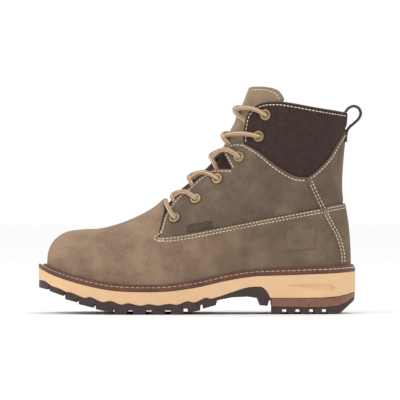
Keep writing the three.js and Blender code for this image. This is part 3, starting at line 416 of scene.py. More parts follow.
def tube(path: Array, radii: Array | float, sides: int = 12, flat: float = 1.0) -> tuple[Array, Array, Array]:
    """Carry a circle along a path in space, with frames turned as little as possible.

    Args:
        path: the centre line, shape (n, 3).
        radii: the radius, or one for each point.
        sides: points of the circle.
        flat: the circle's second half-axis over its first.

    Returns:
        Vertices, quads, and (around, along) coordinates for each vertex, along in millimetres.
    """
    n = len(path)
    along = np.gradient(path, axis=0)
    along /= np.linalg.norm(along, axis=1, keepdims=True)
    across = np.empty_like(path)
    hint = np.array([0.1, 0.3, 1.0])
    for i in range(n):
        hint = hint - along[i] * (hint @ along[i])
        hint /= np.linalg.norm(hint)
        across[i] = hint
    other = np.cross(along, across)
    angle = 2 * np.pi * np.arange(sides) / sides
    radius = np.broadcast_to(radii, (n,))[:, None, None]
    ring = across[:, None] * np.cos(angle)[None, :, None] + flat * other[:, None] * np.sin(angle)[None, :, None]
    verts = path[:, None] + radius * ring
    faces = grid_faces(n, sides, closed=True)
    caps = [len(verts.reshape(-1, 3)), len(verts.reshape(-1, 3)) + 1]
    verts = np.concatenate([verts.reshape(-1, 3), path[:1], path[-1:]])
    a = np.arange(sides)
    b = (a + 1) % sides
    first = np.stack([b, a, np.full(sides, caps[0]), np.full(sides, caps[0])], axis=-1)
    last = np.stack([a, b, np.full(sides, caps[1]), np.full(sides, caps[1])], axis=-1)
    last[:, :2] += (n - 1) * sides
    far = np.concatenate([[0], np.cumsum(np.linalg.norm(np.diff(path, axis=0), axis=1))])
    uv = np.stack(np.broadcast_arrays(np.arange(sides)[None] / sides, far[:, None]), axis=-1).reshape(-1, 2)
    uv = np.concatenate([uv, [[0, 0], [0, far[-1]]]])
    return verts, np.concatenate([faces, first, last]), uv


def stack(rims: Sequence[Array]) -> tuple[Array, Array]:
    """Join closed rims of the same count into a solid, capped by a ladder across first and last.

    Each rim runs out along one side and back along the other, so vertex i faces vertex
    count - 1 - i across the solid.

    Args:
        rims: closed rims of one count, in order.

    Returns:
        Vertices and quads.
    """
    count = len(rims[0])
    verts = np.concatenate(rims)
    walls = grid_faces(len(rims), count, closed=True)
    i = np.arange(count // 2 - 1)
    ladder = np.stack([i, i + 1, count - 2 - i, count - 1 - i], axis=-1)
    top = ladder + (len(rims) - 1) * count
    faces = np.concatenate([walls, ladder[:, ::-1], top])
    return verts, outward(verts, faces)


def merge(parts: Iterable[tuple[Array, Array]]) -> tuple[Array, Array]:
    """Return several meshes as one.

    Args:
        parts: pairs of vertices and quads.

    Returns:
        The joined vertices and quads.
    """
    verts, faces, start = [], [], 0
    for v, f in parts:
        verts.append(v)
        faces.append(f + start)
        start += len(v)
    return np.concatenate(verts), np.concatenate(faces)


def quads_to_lists(faces: Array) -> list[list[int]]:
    """Return faces as lists, with a repeated last corner dropped to make a triangle."""
    return [f[:3] if f[2] == f[3] else f for f in faces.tolist()]


def make_piece(
    name: str,
    verts: Array,
    faces: Array,
    finishes: Sequence["Finish"],
    body: str = "boot",
    replaces: Sequence[str] = (),
    kinds: Array | None = None,
    uv: Array | None = None,
    edge: Array | None = None,
    sharp: float = 42.0,
) -> bpy.types.Object:
    """Put a mesh into the scene as a piece that rides on a body.

    Args:
        name: the piece's name.
        verts: vertices in millimetres, in the drawing frame.
        faces: quads.
        finishes: one finish for each material index.
        body: the body that it rides on.
        replaces: frame nodes that it stands for.
        kinds: the material index of each face.
        uv: one pair for each vertex.
        edge: one number for each vertex, kept as the attribute "edge".
        sharp: the angle in degrees past which an edge is drawn sharp.

    Returns:
        The object.
    """
    mesh = bpy.data.meshes.new(name)
    mesh.from_pydata(((verts + SHIFT) * MM).tolist(), [], quads_to_lists(faces))
    for finish in finishes:
        mesh.materials.append(finish.material())
    if kinds is not None:
        mesh.polygons.foreach_set("material_index", np.asarray(kinds, np.int32))
    if uv is not None:
        layer = mesh.uv_layers.new(name="UVMap")
        loops = np.empty(len(mesh.loops), np.int32)
        mesh.loops.foreach_get("vertex_index", loops)
        sizes = np.empty(len(mesh.polygons), np.int32)
        mesh.polygons.foreach_get("loop_total", sizes)
        pairs, starts = uv[loops], np.cumsum(sizes) - sizes
        # The face that closes a tube runs on past 1 instead of back to 0.
        spread = np.maximum.reduceat(pairs[:, 0], starts) - np.minimum.reduceat(pairs[:, 0], starts)
        pairs[:, 0] += (pairs[:, 0] < 0.5) & (np.repeat(spread, sizes) > 0.5)
        layer.data.foreach_set("uv", pairs.astype(np.float32).ravel())
    if edge is not None:
        mesh.attributes.new("edge", "FLOAT", "POINT").data.foreach_set("value", edge.astype(np.float32))
    mesh.shade_smooth()
    mesh.set_sharp_from_angle(angle=math.radians(sharp))
    mesh.update()
    piece = bpy.data.objects.new(name, mesh)
    bpy.context.scene.collection.objects.link(piece)
    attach(piece, body)
    if replaces:
        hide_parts(*replaces)
    LOG.info("%s: %d faces", name, len(faces))
    return piece


# ---- Finishes -------------------------------------------------------------------------------


def linear(code: str) -> tuple[float, float, float, float]:
    """Turn an sRGB hex colour such as "7d6a55" into linear red, green, blue and alpha."""
    parts = [int(code[k : k + 2], 16) / 255 for k in (0, 2, 4)]
    return (*[c / 12.92 if c <= 0.04045 else ((c + 0.055) / 1.055) ** 2.4 for c in parts], 1.0)


def add_node(tree: bpy.types.NodeTree, kind: str, links: dict | None = None, **values) -> bpy.types.Node:
    """Add one shader node.

    Args:
        tree: the material's tree.
        kind: the node's type without its "ShaderNode" prefix.
        links: input name or index to the output socket that feeds it.
        values: node settings by name, and "inputs" as a dict of input values.

    Returns:
        The node.
    """
    made = tree.nodes.new("ShaderNode" + kind)
    for key, value in values.pop("inputs", {}).items():
        made.inputs[key].default_value = value
    stops = values.pop("stops", None)
    for key, value in values.items():
        setattr(made, key, value)
    if stops:
        ramp = made.color_ramp.elements
        while len(ramp) < len(stops):
            ramp.new(0.5)
        for element, (place, colour) in zip(ramp, stops):
            element.position = place
            element.color = linear(colour) if isinstance(colour, str) else (colour, colour, colour, 1.0)
    for key, socket in (links or {}).items():
        tree.links.new(socket, made.inputs[key])
    return made


def per_mm(size: float) -> float:
    """Return the Noise or Voronoi scale that gives features of a size in millimetres."""
    return 1000.0 / size


@dataclass(frozen=True)
class Finish:
    """A finish with mottled colour and two sizes of relief.

    The colours run from dark through middle to light over a slow noise. The relief is a fine
    grain and a coarser one, in millimetres.
    """

    name: str
    slot: str
    dark: str
    middle: str
    light: str
    patch_mm: float = 22.0
    grain_mm: float = 0.9
    grain_depth_mm: float = 0.12
    swell_mm: float = 7.0
    swell_depth_mm: float = 0.15
    speck: float = 0.12
    rough: float = 0.85
    metal: float = 0.0
    ior: float = 1.5
    sheen: float = 0.0
    coat: float = 0.0
    edge_tone: str | None = None
    lean: float = 0.0
    made: dict = field(default_factory=dict, compare=False, hash=False, repr=False)

    def material(self) -> bpy.types.Material:
        """Return the finish as a material, which is built on its first use.

        Returns:
            The material.
        """
        if "it" not in self.made:
            material = bpy.data.materials.new(self.name)
            material.use_nodes = True
            tree = material.node_tree
            tree.nodes.clear()
            shader = add_node(tree, "BsdfPrincipled", inputs={"Metallic": self.metal})
            if self.ior != 1.5:
                shader.inputs["IOR"].default_value = self.ior
            if self.sheen:
                shader.inputs["Sheen Weight"].default_value = self.sheen
                shader.inputs["Sheen Roughness"].default_value = 0.5
                shader.inputs["Sheen Tint"].default_value = linear(self.light)
            if self.coat:
                shader.inputs["Coat Weight"].default_value = self.coat
            out = add_node(tree, "OutputMaterial")
            tree.links.new(shader.outputs["BSDF"], out.inputs["Surface"])
            self.dress(tree, shader)
            self.made["it"] = material
        return self.made["it"]

    def dress(self, tree: bpy.types.NodeTree, shader: bpy.types.Node) -> None:
        """Lay the colour, roughness and relief into the shader.

        Args:
            tree: the material's node tree.
            shader: its Principled BSDF.
        """
        place = add_node(tree, "TexCoord").outputs["Object"]
        patches = add_node(
            tree, "TexNoise", {"Vector": place},
            inputs={"Scale": per_mm(self.patch_mm), "Detail": 7.0, "Roughness": 0.62},
        )
        grain = add_node(
            tree, "TexNoise", {"Vector": place},
            inputs={"Scale": per_mm(self.grain_mm), "Detail": 3.0, "Roughness": 0.6},
        )
        swell = add_node(
            tree, "TexNoise", {"Vector": place}, inputs={"Scale": per_mm(self.swell_mm), "Detail": 2.0}
        )
        axes = add_node(tree, "SeparateXYZ", {"Vector": place})
        # The hide is lighter towards the toe: lean is the rise of the noise value per metre.
        slope = add_node(tree, "Math", {0: axes.outputs["X"], 2: patches.outputs["Fac"]}, operation="MULTIPLY_ADD",
                         inputs={1: -self.lean})
        tone = add_node(
            tree, "ValToRGB", {"Fac": slope.outputs[0]},
            stops=[(0.28, self.dark), (0.52, self.middle), (0.76, self.light)],
        )
        speckle = add_node(
            tree, "ValToRGB", {"Fac": grain.outputs["Fac"]}, stops=[(0.3, 0.5 - self.speck), (0.7, 0.5 + self.speck)]
        )
        colour = add_node(
            tree, "Mix", {6: tone.outputs["Color"], 7: speckle.outputs["Color"]}, data_type="RGBA",
            blend_type="OVERLAY", inputs={0: 1.0},
        ).outputs[2]
        if self.edge_tone:
            near = add_node(tree, "Attribute", attribute_name="edge")
            share = add_node(
                tree, "MapRange", {"Value": near.outputs["Fac"]},
                inputs={"From Min": 0.2, "From Max": 1.6, "To Min": 0.75, "To Max": 0.0},
            )
            colour = add_node(
                tree, "Mix", {0: share.outputs["Result"], 6: colour}, data_type="RGBA",
                inputs={7: linear(self.edge_tone)},
            ).outputs[2]
        tree.links.new(colour, shader.inputs["Base Color"])
        rough = add_node(
            tree, "MapRange", {"Value": grain.outputs["Fac"]},
            inputs={"From Min": 0.3, "From Max": 0.7, "To Min": self.rough - 0.07,
                    "To Max": min(1.0, self.rough + 0.07)},
        )
        tree.links.new(rough.outputs["Result"], shader.inputs["Roughness"])
        low = add_node(
            tree, "Bump", {"Height": swell.outputs["Fac"]},
            inputs={"Strength": 0.6, "Distance": self.swell_depth_mm * MM * 4},
        )
        high = add_node(
            tree, "Bump", {"Height": grain.outputs["Fac"], "Normal": low.outputs["Normal"]},
            inputs={"Strength": 0.7, "Distance": self.grain_depth_mm * MM * 3},
        )
        tree.links.new(high.outputs["Normal"], shader.inputs["Normal"])


@dataclass(frozen=True)
class Woven(Finish):
    """A plain-woven textile: two crossed waves of threads set thread_mm apart."""

    thread_mm: float = 1.1
    weave_depth_mm: float = 0.25

    def dress(self, tree: bpy.types.NodeTree, shader: bpy.types.Node) -> None:
        """Lay the weave over the mottled ground.

        Args:
            tree: the material's node tree.
            shader: its Principled BSDF.
        """
        super().dress(tree, shader)
        place = add_node(tree, "TexCoord").outputs["Object"]
        # A wave's bands lie 1 / (20 scale / 2 pi) apart: the scale is 0.314 over the spacing in metres.
        waves = [
            add_node(
                tree, "TexWave", {"Vector": place}, bands_direction=axis, wave_profile="SIN",
                inputs={"Scale": 0.314 / (self.thread_mm * MM), "Distortion": 0.6, "Detail": 1.0},
            ).outputs["Fac"]
            for axis in ("X", "Z")
        ]
        weave = add_node(tree, "Math", {0: waves[0], 1: waves[1]}, operation="MULTIPLY")
        bump = add_node(
            tree, "Bump", {"Height": weave.outputs[0], "Normal": shader.inputs["Normal"].links[0].from_socket},
            inputs={"Strength": 0.8, "Distance": self.weave_depth_mm * MM},
        )
        tree.links.new(bump.outputs["Normal"], shader.inputs["Normal"])


@dataclass(frozen=True)
class Braid(Finish):
    """A round braided lace: stripes along it, and a braid's crossed ribs over them, as relief and as painted shade in
    their troughs.
    """

    pitch_mm: float = 1.5

    def dress(self, tree: bpy.types.NodeTree, shader: bpy.types.Node) -> None:
        """Lay stripes round the cord from its own map: U is the share round it, V is millimetres along.

        Args:
            tree: the material's node tree.
            shader: its Principled BSDF.
        """
        uv = add_node(tree, "UVMap").outputs["UV"]
        axes = add_node(tree, "SeparateXYZ", {"Vector": uv})
        repeat = add_node(tree, "Math", {0: axes.outputs["X"]}, operation="MULTIPLY", inputs={1: 4.0})
        turn = add_node(tree, "Math", {0: repeat.outputs[0]}, operation="FRACT")
        stripes = add_node(
            tree, "ValToRGB", {"Fac": turn.outputs[0]},
            stops=[(0.0, self.light), (0.27, self.light), (0.31, self.dark), (0.39, self.dark), (0.43, self.middle),
                   (0.84, self.middle), (0.88, self.dark), (0.95, self.dark)],
        )
        turns = add_node(tree, "Math", {0: axes.outputs["X"]}, operation="MULTIPLY", inputs={1: 6 * 2 * math.pi})
        along = add_node(
            tree, "Math", {0: axes.outputs["Y"]}, operation="MULTIPLY", inputs={1: 2 * math.pi / self.pitch_mm}
        )
        ribs = []
        for sign in ("ADD", "SUBTRACT"):
            mixed = add_node(tree, "Math", {0: along.outputs[0], 1: turns.outputs[0]}, operation=sign)
            ribs.append(add_node(tree, "Math", {0: mixed.outputs[0]}, operation="SINE").outputs[0])
        braid = add_node(tree, "Math", {0: ribs[0], 1: ribs[1]}, operation="MULTIPLY")
        # The ribs are painted into the colour too: painted shade in their troughs and a faint painted highlight on
        # their crests.
        shade = add_node(
            tree, "MapRange", {"Value": braid.outputs[0]},
            inputs={"From Min": -1.0, "From Max": 1.0, "To Min": 0.72, "To Max": 1.05},
        )
        colour = add_node(
            tree, "Mix", {6: stripes.outputs["Color"], 7: shade.outputs["Result"]}, data_type="RGBA",
            blend_type="MULTIPLY", inputs={0: 1.0},
        )
        tree.links.new(colour.outputs[2], shader.inputs["Base Color"])
        shader.inputs["Roughness"].default_value = self.rough
        bump = add_node(tree, "Bump", {"Height": braid.outputs[0]}, inputs={"Strength": 0.7, "Distance": 0.25 * MM})
        tree.links.new(bump.outputs["Normal"], shader.inputs["Normal"])


# What every cut of the hide has in common: its grain, its swell and its nap.
HIDE = {"grain_mm": 0.8, "grain_depth_mm": 0.07, "swell_depth_mm": 0.1, "rough": 0.88, "sheen": 0.12}
# Nubuck: full-grain cowhide sanded on its outer face. The nap kills all gloss, and the oil in
# the hide gives slow patches of brown and olive; a cut edge is a little darker.
NUBUCK = Finish("nubuck_leather", "leather", "645343", "7c6652", "977d65", patch_mm=30, lean=1.55, speck=0.14,
                edge_tone="6a5846", **HIDE)
# The quarters and the back are cut from a darker, oilier part of the hide.
NUBUCK_DEEP = Finish("oiled_nubuck", "leather", "54453a", "685648", "84705d", patch_mm=24, lean=0.5, speck=0.14,
                     edge_tone="5c4c3e", **HIDE)
# The hide where a hot plate has pressed it: darker and slightly burnished.
STAMPED = Finish("stamped_nubuck", "leather", "63513f", "6d5a48", "786452", patch_mm=12, grain_mm=0.8,
                 grain_depth_mm=0.07, swell_depth_mm=0.05, speck=0.14, rough=0.7)
# The same hide in a lighter tone, on the tongue's padded top.
NUBUCK_LIGHT = Finish("tongue_nubuck", "leather", "846f5a", "957f69", "a58f76", patch_mm=22, speck=0.08,
                      edge_tone="6f5d48", **HIDE)
# Split suede: brushed fibres in every direction, dark, with a soft light rim and a visible grain.
SUEDE = Finish("brushed_suede", "darkLeather", "2c1d1b", "362320", "412c27", patch_mm=5, grain_mm=1.1,
               grain_depth_mm=0.2, swell_depth_mm=0.08, speck=0.22, rough=0.93, sheen=0.15, edge_tone="2a1d1b")
# Brushed polyester lining: a plain weave, matt, warm brown.
LINING_CLOTH = Woven("woven_lining", "lining", "4a3c30", "5a4a3b", "6a5846", patch_mm=12, grain_mm=0.7, speck=0.1,
                     rough=0.95, sheen=0.2, thread_mm=1.3)
# Moulded EVA foam with a skin: even, satin-matt, faint pores.
EVA = Finish("moulded_eva", "tan", "dbb186", "e0b88d", "e5c096", patch_mm=40, grain_mm=0.9, grain_depth_mm=0.05,
             swell_depth_mm=0.03, speck=0.04, rough=0.62, sheen=0.05)
# Extruded welt rubber, red-brown, a little shinier than the leather.
WELT_RUBBER = Finish("welt_rubber", "welt", "4c281b", "5e3523", "70442d", patch_mm=10, grain_mm=0.7,
                     grain_depth_mm=0.06, swell_depth_mm=0.04, speck=0.08, rough=0.55)
# Moulded rubber with a knurled face: fine crossed ribs catch the light.
HEEL_RUBBER = Woven("knurled_rubber", "heelLayer", "77513f", "875d4b", "946a57", patch_mm=14, grain_mm=0.6,
                    speck=0.14, rough=0.6, thread_mm=1.7, weave_depth_mm=0.8)
# Carbon-filled outsole rubber: dark brown, moulded, with a dusty matt skin.
RUBBER = Finish("outsole_rubber", "rubber", "2c1f1e", "382827", "453231", patch_mm=12, grain_mm=0.7,
                grain_depth_mm=0.08, swell_depth_mm=0.06, speck=0.08, rough=0.6)
# Round polyester lace: matt, with stripes woven lengthwise.
LACE_BRAID = Braid("striped_lace", "lace", "6b3f2c", "d3a27a", "f0dfc2", rough=0.8, sheen=0.1)
# Plated brass, tumbled to a satin: olive-gold with worn, lighter rims.
BRASS = Finish("satin_brass", "brass", "7c6c4c", "948362", "a89873", patch_mm=4, grain_mm=0.5, grain_depth_mm=0.02,
               swell_depth_mm=0.01, speck=0.08, rough=0.36, metal=0.85)
# A painted shadow inside an eyelet: a nearly black disc down in its bore, where shade falls.
PAINTED_EYELET_SHADOW = Finish("eyelet_shadow", "darkLeather", "0c0908", "120e0c", "191310", patch_mm=3, rough=1.0)
# Waxed polyester thread: cream, twisted, softly shining.
THREAD = Finish("waxed_thread", "lace", "cfbfa6", "e2d3ba", "eee3cf", patch_mm=3, grain_mm=0.35,
                grain_depth_mm=0.04, swell_depth_mm=0.01, speck=0.1, rough=0.65, sheen=0.1)
# Pinkish-brown welded line on the side tag: smooth moulded plastic.
TAG_LINE = Finish("tag_line", "plastic", "684a3d", "765647", "846353", patch_mm=4, grain_mm=0.6, rough=0.55)
# Ribbed tag: calendered synthetic, dull olive-brown.
TAG = Woven("ribbed_tag", "darkLeather", "40352c", "4c4034", "584a3a", patch_mm=5, grain_mm=0.6, rough=0.85,
            thread_mm=1.0)
# Drawn carbon steel, hidden: grey with rolling marks.
STEEL = Finish("drawn_steel", "steel", "80848a", "93979c", "a5a9ad", patch_mm=8, grain_mm=0.6, rough=0.38, metal=1.0,
               grain_depth_mm=0.02, swell_depth_mm=0.02, speck=0.05)
# Pressed cellulose board: pale brown, fibrous.
BOARD = Finish("fibre_board", "board", "9c835f", "b49a74", "c5ad88", patch_mm=5, grain_mm=0.8, rough=0.9)
# Ground cork in latex: brown crumbs of a few millimetres.
CORK = Finish("cork_filler", "cork", "7d5433", "a5764a", "bd8e60", patch_mm=3, grain_mm=1.2, grain_depth_mm=0.3,
              rough=0.95)
# Open-cell polyurethane: pale, porous.
FOAM = Finish("open_foam", "foam", "bdb3a0", "cfc6b4", "dcd4c4", patch_mm=6, grain_mm=1.0, grain_depth_mm=0.25,
              rough=0.97)
# Footbed top cloth over foam: a dark brushed weave.
BED_CLOTH = Woven("footbed_cloth", "foam", "3a322c", "463c34", "54483e", patch_mm=14, grain_mm=0.8, rough=0.95,
                  sheen=0.2, thread_mm=1.6)
# Injection-moulded plastic: dark, smooth, slightly glossy.
PLASTIC = Finish("moulded_plastic", "plastic", "231d1a", "2b2624", "38312e", patch_mm=6, grain_mm=0.8,
                 grain_depth_mm=0.03, rough=0.42)

# ---- Patches of the side view ---------------------------------------------------------------

VAMP_SEAM: Points = ((-35.5, 69.6), (-15, 71.2), (26.5, 79.2), (68, 87.3), (110.5, 95.3))
FACING_LOW: Points = (
    (-35.5, 69.6), (-33.2, 78), (-30, 89), (-23, 100.6), (-16.8, 107.6), (-7.7, 114.6), (1.4, 123), (13.2, 130.8)
)
NOTCH_LOW: Points = ((13.2, 130.8), (22, 131.2), (31, 131))
NOTCH_HIGH: Points = ((31, 131), (26.5, 139.5), (22.3, 147))
FACING_TIP: Points = ((22.3, 147), (26, 151.5), (32, 154.6), (41.4, 154.4))
COLLAR_SEAM: Points = ((41.4, 154.4), (55, 146.2), (66, 137), (77, 129), (88, 123.4), (97.6, 122.6))
COLLAR_SEAM_BACK: Points = ((97.6, 122.6), (104.2, 126), (115, 136), (121, 143.6), (127, 154), (135.7, 167))
COLLAR_FRONT: Points = ((41.4, 154.4), (41.2, 163), (42.3, 171), (45.0, 180.6), (50.0, 186.4))
COLLAR_TOP: Points = (
    (50.0, 186.4), (54.6, 189.4), (62.4, 191.4), (73.8, 191.6), (84.2, 190.2), (112, 185.2), (136.8, 181.4)
)
REAR_SEAM: Points = ((110.5, 95.3), (104, 108.6), (97.6, 122.6))
COUNTER_TOP: Points = ((110.5, 95.3), (122, 97.8), (134, 99.8))
COUNTER_FRONT: Points = ((128.8, 36), (128.8, 51), (127, 61), (123.8, 70), (118.5, 80), (110.5, 95.3))
VAMP_END: Points = ((-35.5, 69.6), (-33.6, 78), (-31.5, 87), (-29.5, 94), (-31, 103))
EYELETS: Points = ((-20.7, 87.1), (-1.7, 104.3), (17.8, 122.4), (37.4, 142), (55.2, 160.6), (61.4, 180))

Curve2 = Callable[[Array], Array]


def shifted(points: Points, by: float) -> Array:
    """Return points moved to the left of their own direction by a distance.

    Args:
        points: the points, in order.
        by: the distance in millimetres; negative is to the right.

    Returns:
        The moved points.
    """
    xy = catmull_rom(points, 60)
    t = np.gradient(xy, axis=0)
    t /= np.linalg.norm(t, axis=1, keepdims=True)
    return xy + by * np.stack([-t[:, 1], t[:, 0]], axis=-1)


def chain(parts: Sequence[Curve2], ends: Sequence[float]) -> Curve2:
    """Return several runs one after another, where ends[i] is the share at which run i ends.

    Args:
        parts: the runs, in order.
        ends: the share at which each run ends.

    Returns:
        The runs as one curve by share.
    """

    def read(s: Array) -> Array:
        """Return the points of the chain at shares.

        Args:
            s: the shares.

        Returns:
            Points, shape (count, 2).
        """
        s = np.asarray(s, float)
        result = np.zeros(s.shape + (2,))
        begin = 0.0
        for part, end in zip(parts, ends):
            here = (s >= begin - 1e-9) & (s <= end + 1e-9)
            result[here] = part(np.clip((s[here] - begin) / (end - begin), 0, 1))
            begin = end
        return result

    return read


def shares(count: int, fine_low: float, fine_high: float, bend: Callable[[Array], Array] | None = None) -> Array:
    """Return shares from 0 to 1 with three close steps at each end that asks for them.

    Args:
        count: the even steps.
        fine_low: the share that the close steps cover at 0, or 0 for none.
        fine_high: the same at 1.
        bend: how the even steps are eased.

    Returns:
        Rising shares from 0 to 1.
    """
    middle = np.linspace(0, 1, count + 1)
    if bend:
        middle = bend(middle)
    low = fine_low * np.array([0, 0.12, 0.3, 0.6, 1]) if fine_low else np.array([0.0])
    high = 1 - fine_high * np.array([1, 0.6, 0.3, 0.12, 0]) if fine_high else np.array([1.0])
    middle = middle[(middle > low[-1] + 0.3 / count) & (middle < high[0] - 0.3 / count)]
    return np.concatenate([low, middle, high])


def ease(s: Array) -> Array:
    """Return shares crowded towards 1, where a patch meets an outline: the sine of a quarter turn."""
    return np.sin(np.asarray(s) * np.pi / 2)


def long_ease(s: Array) -> Array:
    """Return shares crowded towards both ends of a long patch."""
    return ease(s * (0.48 + 0.52 * s))


@dataclass
class Cut:
    """One cut piece of leather: a Coons patch of the side view, laid on the skin.

    The patch is the sum of the two rulings between opposite edges less the bilinear patch
    through the corners. Each edge is "over" (its rim shows, raised), "under" (it runs on below
    its neighbour), "free" or "foot".
    """

    name: str
    bottom: Curve2
    top: Curve2
    left: Curve2
    right: Curve2
    side: Side
    edges: tuple[str, str, str, str]
    columns: Array
    rows: Array
    finish: Finish = NUBUCK
    lift: float = 0.0
    holes: Points = ()

    def plan(self) -> Array:
        """Return the patch's points in the side view, shape (rows, columns, 2).

        Returns:
            Points by row and column.
        """
        u, v = self.columns[None, :, None], self.rows[:, None, None]
        low, high = self.bottom(self.columns)[None], self.top(self.columns)[None]
        left, right = self.left(self.rows)[:, None], self.right(self.rows)[:, None]
        a, b, c, d = low[:, :1], low[:, -1:], high[:, :1], high[:, -1:]
        flat = (1 - u) * (1 - v) * a + u * (1 - v) * b + (1 - u) * v * c + u * v * d
        return (1 - v) * low + v * high + (1 - u) * left + u * right - flat

    def distances(self, place: Array) -> list[Array]:
        """Return each point's distance along the grid to the bottom, top, left and right edges.

        Args:
            place: the laid grid, shape (rows, columns, 3).

        Returns:
            Four grids of distances in millimetres.
        """
        up = np.concatenate(
            [np.zeros((1, place.shape[1])), np.cumsum(np.linalg.norm(np.diff(place, axis=0), axis=-1), 0)]
        )
        over = np.concatenate(
            [np.zeros((place.shape[0], 1)), np.cumsum(np.linalg.norm(np.diff(place, axis=1), axis=-1), 1)], axis=1
        )
        return [up, up[-1:] - up, over, over[:, -1:] - over]

    def layers(
        self, side: float, depth: Callable[[Array], Array] | float = 0.0, thick: float = 1.8
    ) -> tuple[Array, ...]:
        """Return the outer and inner grids of one half and the distance to the nearest rim.

        Args:
            side: -1 for the lateral half and +1 for the medial one.
            depth: how deep the piece lies, as one number or by point.
            thick: its thickness.

        Returns:
            The outer grid, the inner grid and the rim distances.
        """
        xz = self.plan()
        surface = SKIN.point(xz, side, 0.0)
        base = -(depth(xz) if callable(depth) else np.full(xz.shape[:2], float(depth)))
        lift = base + self.lift
        rim = np.full(xz.shape[:2], 9.0)
        for kind, d in zip(self.edges, self.distances(surface)):
            if kind in ("over", "free"):
                rim = np.minimum(rim, d)
            if kind == "over":
                lift = lift + 0.5 * (1 - smooth(d / 10))
            if kind == "under":
                lift = lift - 1.1 * (1 - smooth(d / 4.5))
        # The rim rolls down along a quarter circle of radius 0.9 mm.
        t = np.clip(1 - rim / 0.9, 0, 1)
        lift = lift - 0.9 * (1 - np.sqrt(1 - t * t))
        # A swell of about a quarter of a millimetre, as soft hide has.
        x, z = xz[..., 0], xz[..., 1]
        wave = np.sin(x / 13 + 1.3 * side) * np.sin(z / 11 + x / 29) + 0.6 * np.sin(x / 7.1 - z / 8.3 + side)
        lift = lift + 0.14 * wave * smooth(rim / 6)
        for hole in self.holes:
            r = np.linalg.norm(xz - np.asarray(hole), axis=-1)
            lift = lift - 0.5 * np.exp(-((r / 7.5) ** 2)) - 3.2 * (1 - smooth((r - 2.9) / 1.5))
        return SKIN.point(xz, side, lift), SKIN.point(xz, side, lift - thick), rim

    def build(self, depth: Callable[[Array], Array] | float = 0.0, thick: float = 1.8) -> tuple[Array, Array, Array]:
        """Return the piece's vertices, quads and rim distances.

        Args:
            depth: how deep the piece lies, as one number or by point.
            thick: its thickness.

        Returns:
            Vertices, quads and, for each vertex, the distance to the rim.
        """
        if self.side is Side.BOTH:
            (a, b, c), (d, e, f) = self.layers(-1, depth, thick), self.layers(1, depth, thick)
            outer, inner, rim = (
                np.concatenate([p, q[:, -2::-1]], axis=1) for p, q in ((a, d), (b, e), (c, f))
            )
        else:
            outer, inner, rim = self.layers(self.side.value, depth, thick)
        verts, faces, _ = slab(outer, inner)
        rim = np.concatenate([rim.ravel(), np.zeros(rim.size)])
        return verts, outward(verts, faces), rim


def above_sole(lift: float) -> Curve2:
    """Return the line at a height over the midsole, read by X."""
    return lambda x: np.stack([x, SKIN.sole_z(x) + lift], axis=-1)


def cuts() -> dict[str, Cut]:
    """Return every leather of the upper by name.

    Returns:
        Each cut by the name of its frame node, without a side.
    """
    toe_z = float(SKIN.sole_z(np.array(-137.0)))
    rear_x = 128.8
    rear_foot = float(SKIN.sole_z(np.array(rear_x)))
    split = 0.62
    throat = chain(
        [Line(shifted(VAMP_SEAM, 0.0)[::-1]), Line((*VAMP_END[:-1], (SKIN.front.x_at(103), 103)))], [split, 1]
    )
    vamp_rows = shares(56, 0.02, 0.028)
    toe = chain([SKIN.front.between(toe_z, 76.2), SKIN.front.between(76.2, 103)], [0.62, 1])
    back_x = SKIN.back.x_at(38)
    front_of_counter = [(rear_x, rear_foot)] + [tuple(p) for p in COUNTER_FRONT[1:]]
    seam_top = (*COLLAR_SEAM_BACK[:-1], (SKIN.back.x_at(167), 167))
    return {
        "vamp": Cut(
            "vamp", lambda s: above_sole(0.3)(rear_x + (-137 - rear_x) * s), throat,
            Line(front_of_counter), toe, Side.BOTH, ("foot", "over", "foot", "foot"),
            shares(110, 0.012, 0.0, long_ease), vamp_rows,
        ),
        "quarter": Cut(
            "quarter", Line(shifted(VAMP_SEAM, -2.2)), Line(COLLAR_SEAM),
            chain(
                [Line(FACING_LOW), Line(NOTCH_LOW), Line(NOTCH_HIGH), Line(FACING_TIP)], [7 / 13, 9 / 13, 11 / 13, 1]
            ),
            Line(shifted(REAR_SEAM, -2.2)), Side.LATERAL, ("under", "over", "free", "under"),
            shares(64, 0.02, 0.02), np.unique(np.concatenate([shares(65, 0.025, 0.025), [7 / 13, 9 / 13, 11 / 13]])),
            finish=NUBUCK_DEEP, holes=EYELETS[:4],
        ),
        "back_panel": Cut(
            "back_panel", Line(COUNTER_TOP), Line(seam_top), Line(REAR_SEAM),
            SKIN.back.between(99.8, 167), Side.BOTH, ("under", "over", "over", "foot"),
            shares(30, 0.04, 0.0, ease), shares(34, 0.03, 0.03), finish=NUBUCK_DEEP,
        ),
        "heel_counter_cover": Cut(
            "heel_counter_cover", lambda s: above_sole(0.3)(rear_x + (back_x - rear_x) * s), Line(COUNTER_TOP),
            Line(front_of_counter), SKIN.back.between(38.2, 99.8), Side.BOTH, ("foot", "over", "over", "foot"),
            shares(24, 0.05, 0.0, ease), shares(40, 0.02, 0.03), lift=0.35,
        ),
        "collar_panel": Cut(
            "collar_panel", chain([Line(COLLAR_SEAM), Line(seam_top)], [0.66, 1]),
            Line((*COLLAR_TOP[:-1], (SKIN.back.x_at(181.6), 181.6))), Line(COLLAR_FRONT),
            SKIN.back.between(167, 181.6), Side.BOTH, ("under", "free", "free", "foot"),
            shares(70, 0.015, 0.0, ease), shares(36, 0.03, 0.03), finish=SUEDE, lift=-0.05, holes=EYELETS[4:],
        ),
    }


# ---- Depth of the layers --------------------------------------------------------------------


def lining_depth(xz: Array) -> Array:
    """Return how deep the lining's outer face lies: deeper past toe cap, stiffener and collar foam.

    Args:
        xz: points of the side view.

    Returns:
        Depths in millimetres.
    """
    x, z = xz[..., 0], xz[..., 1]
    toe = 3.3 * span(-x, 44, 60)
    heel = 2.8 * span(x, 54, 72) * span(-z, -114, -99)
    foam = 5.1 * span(x, 66, 90) * span(z, 122, 136) * span(-z, -184, -174)
    return 2.4 + toe + heel + foam


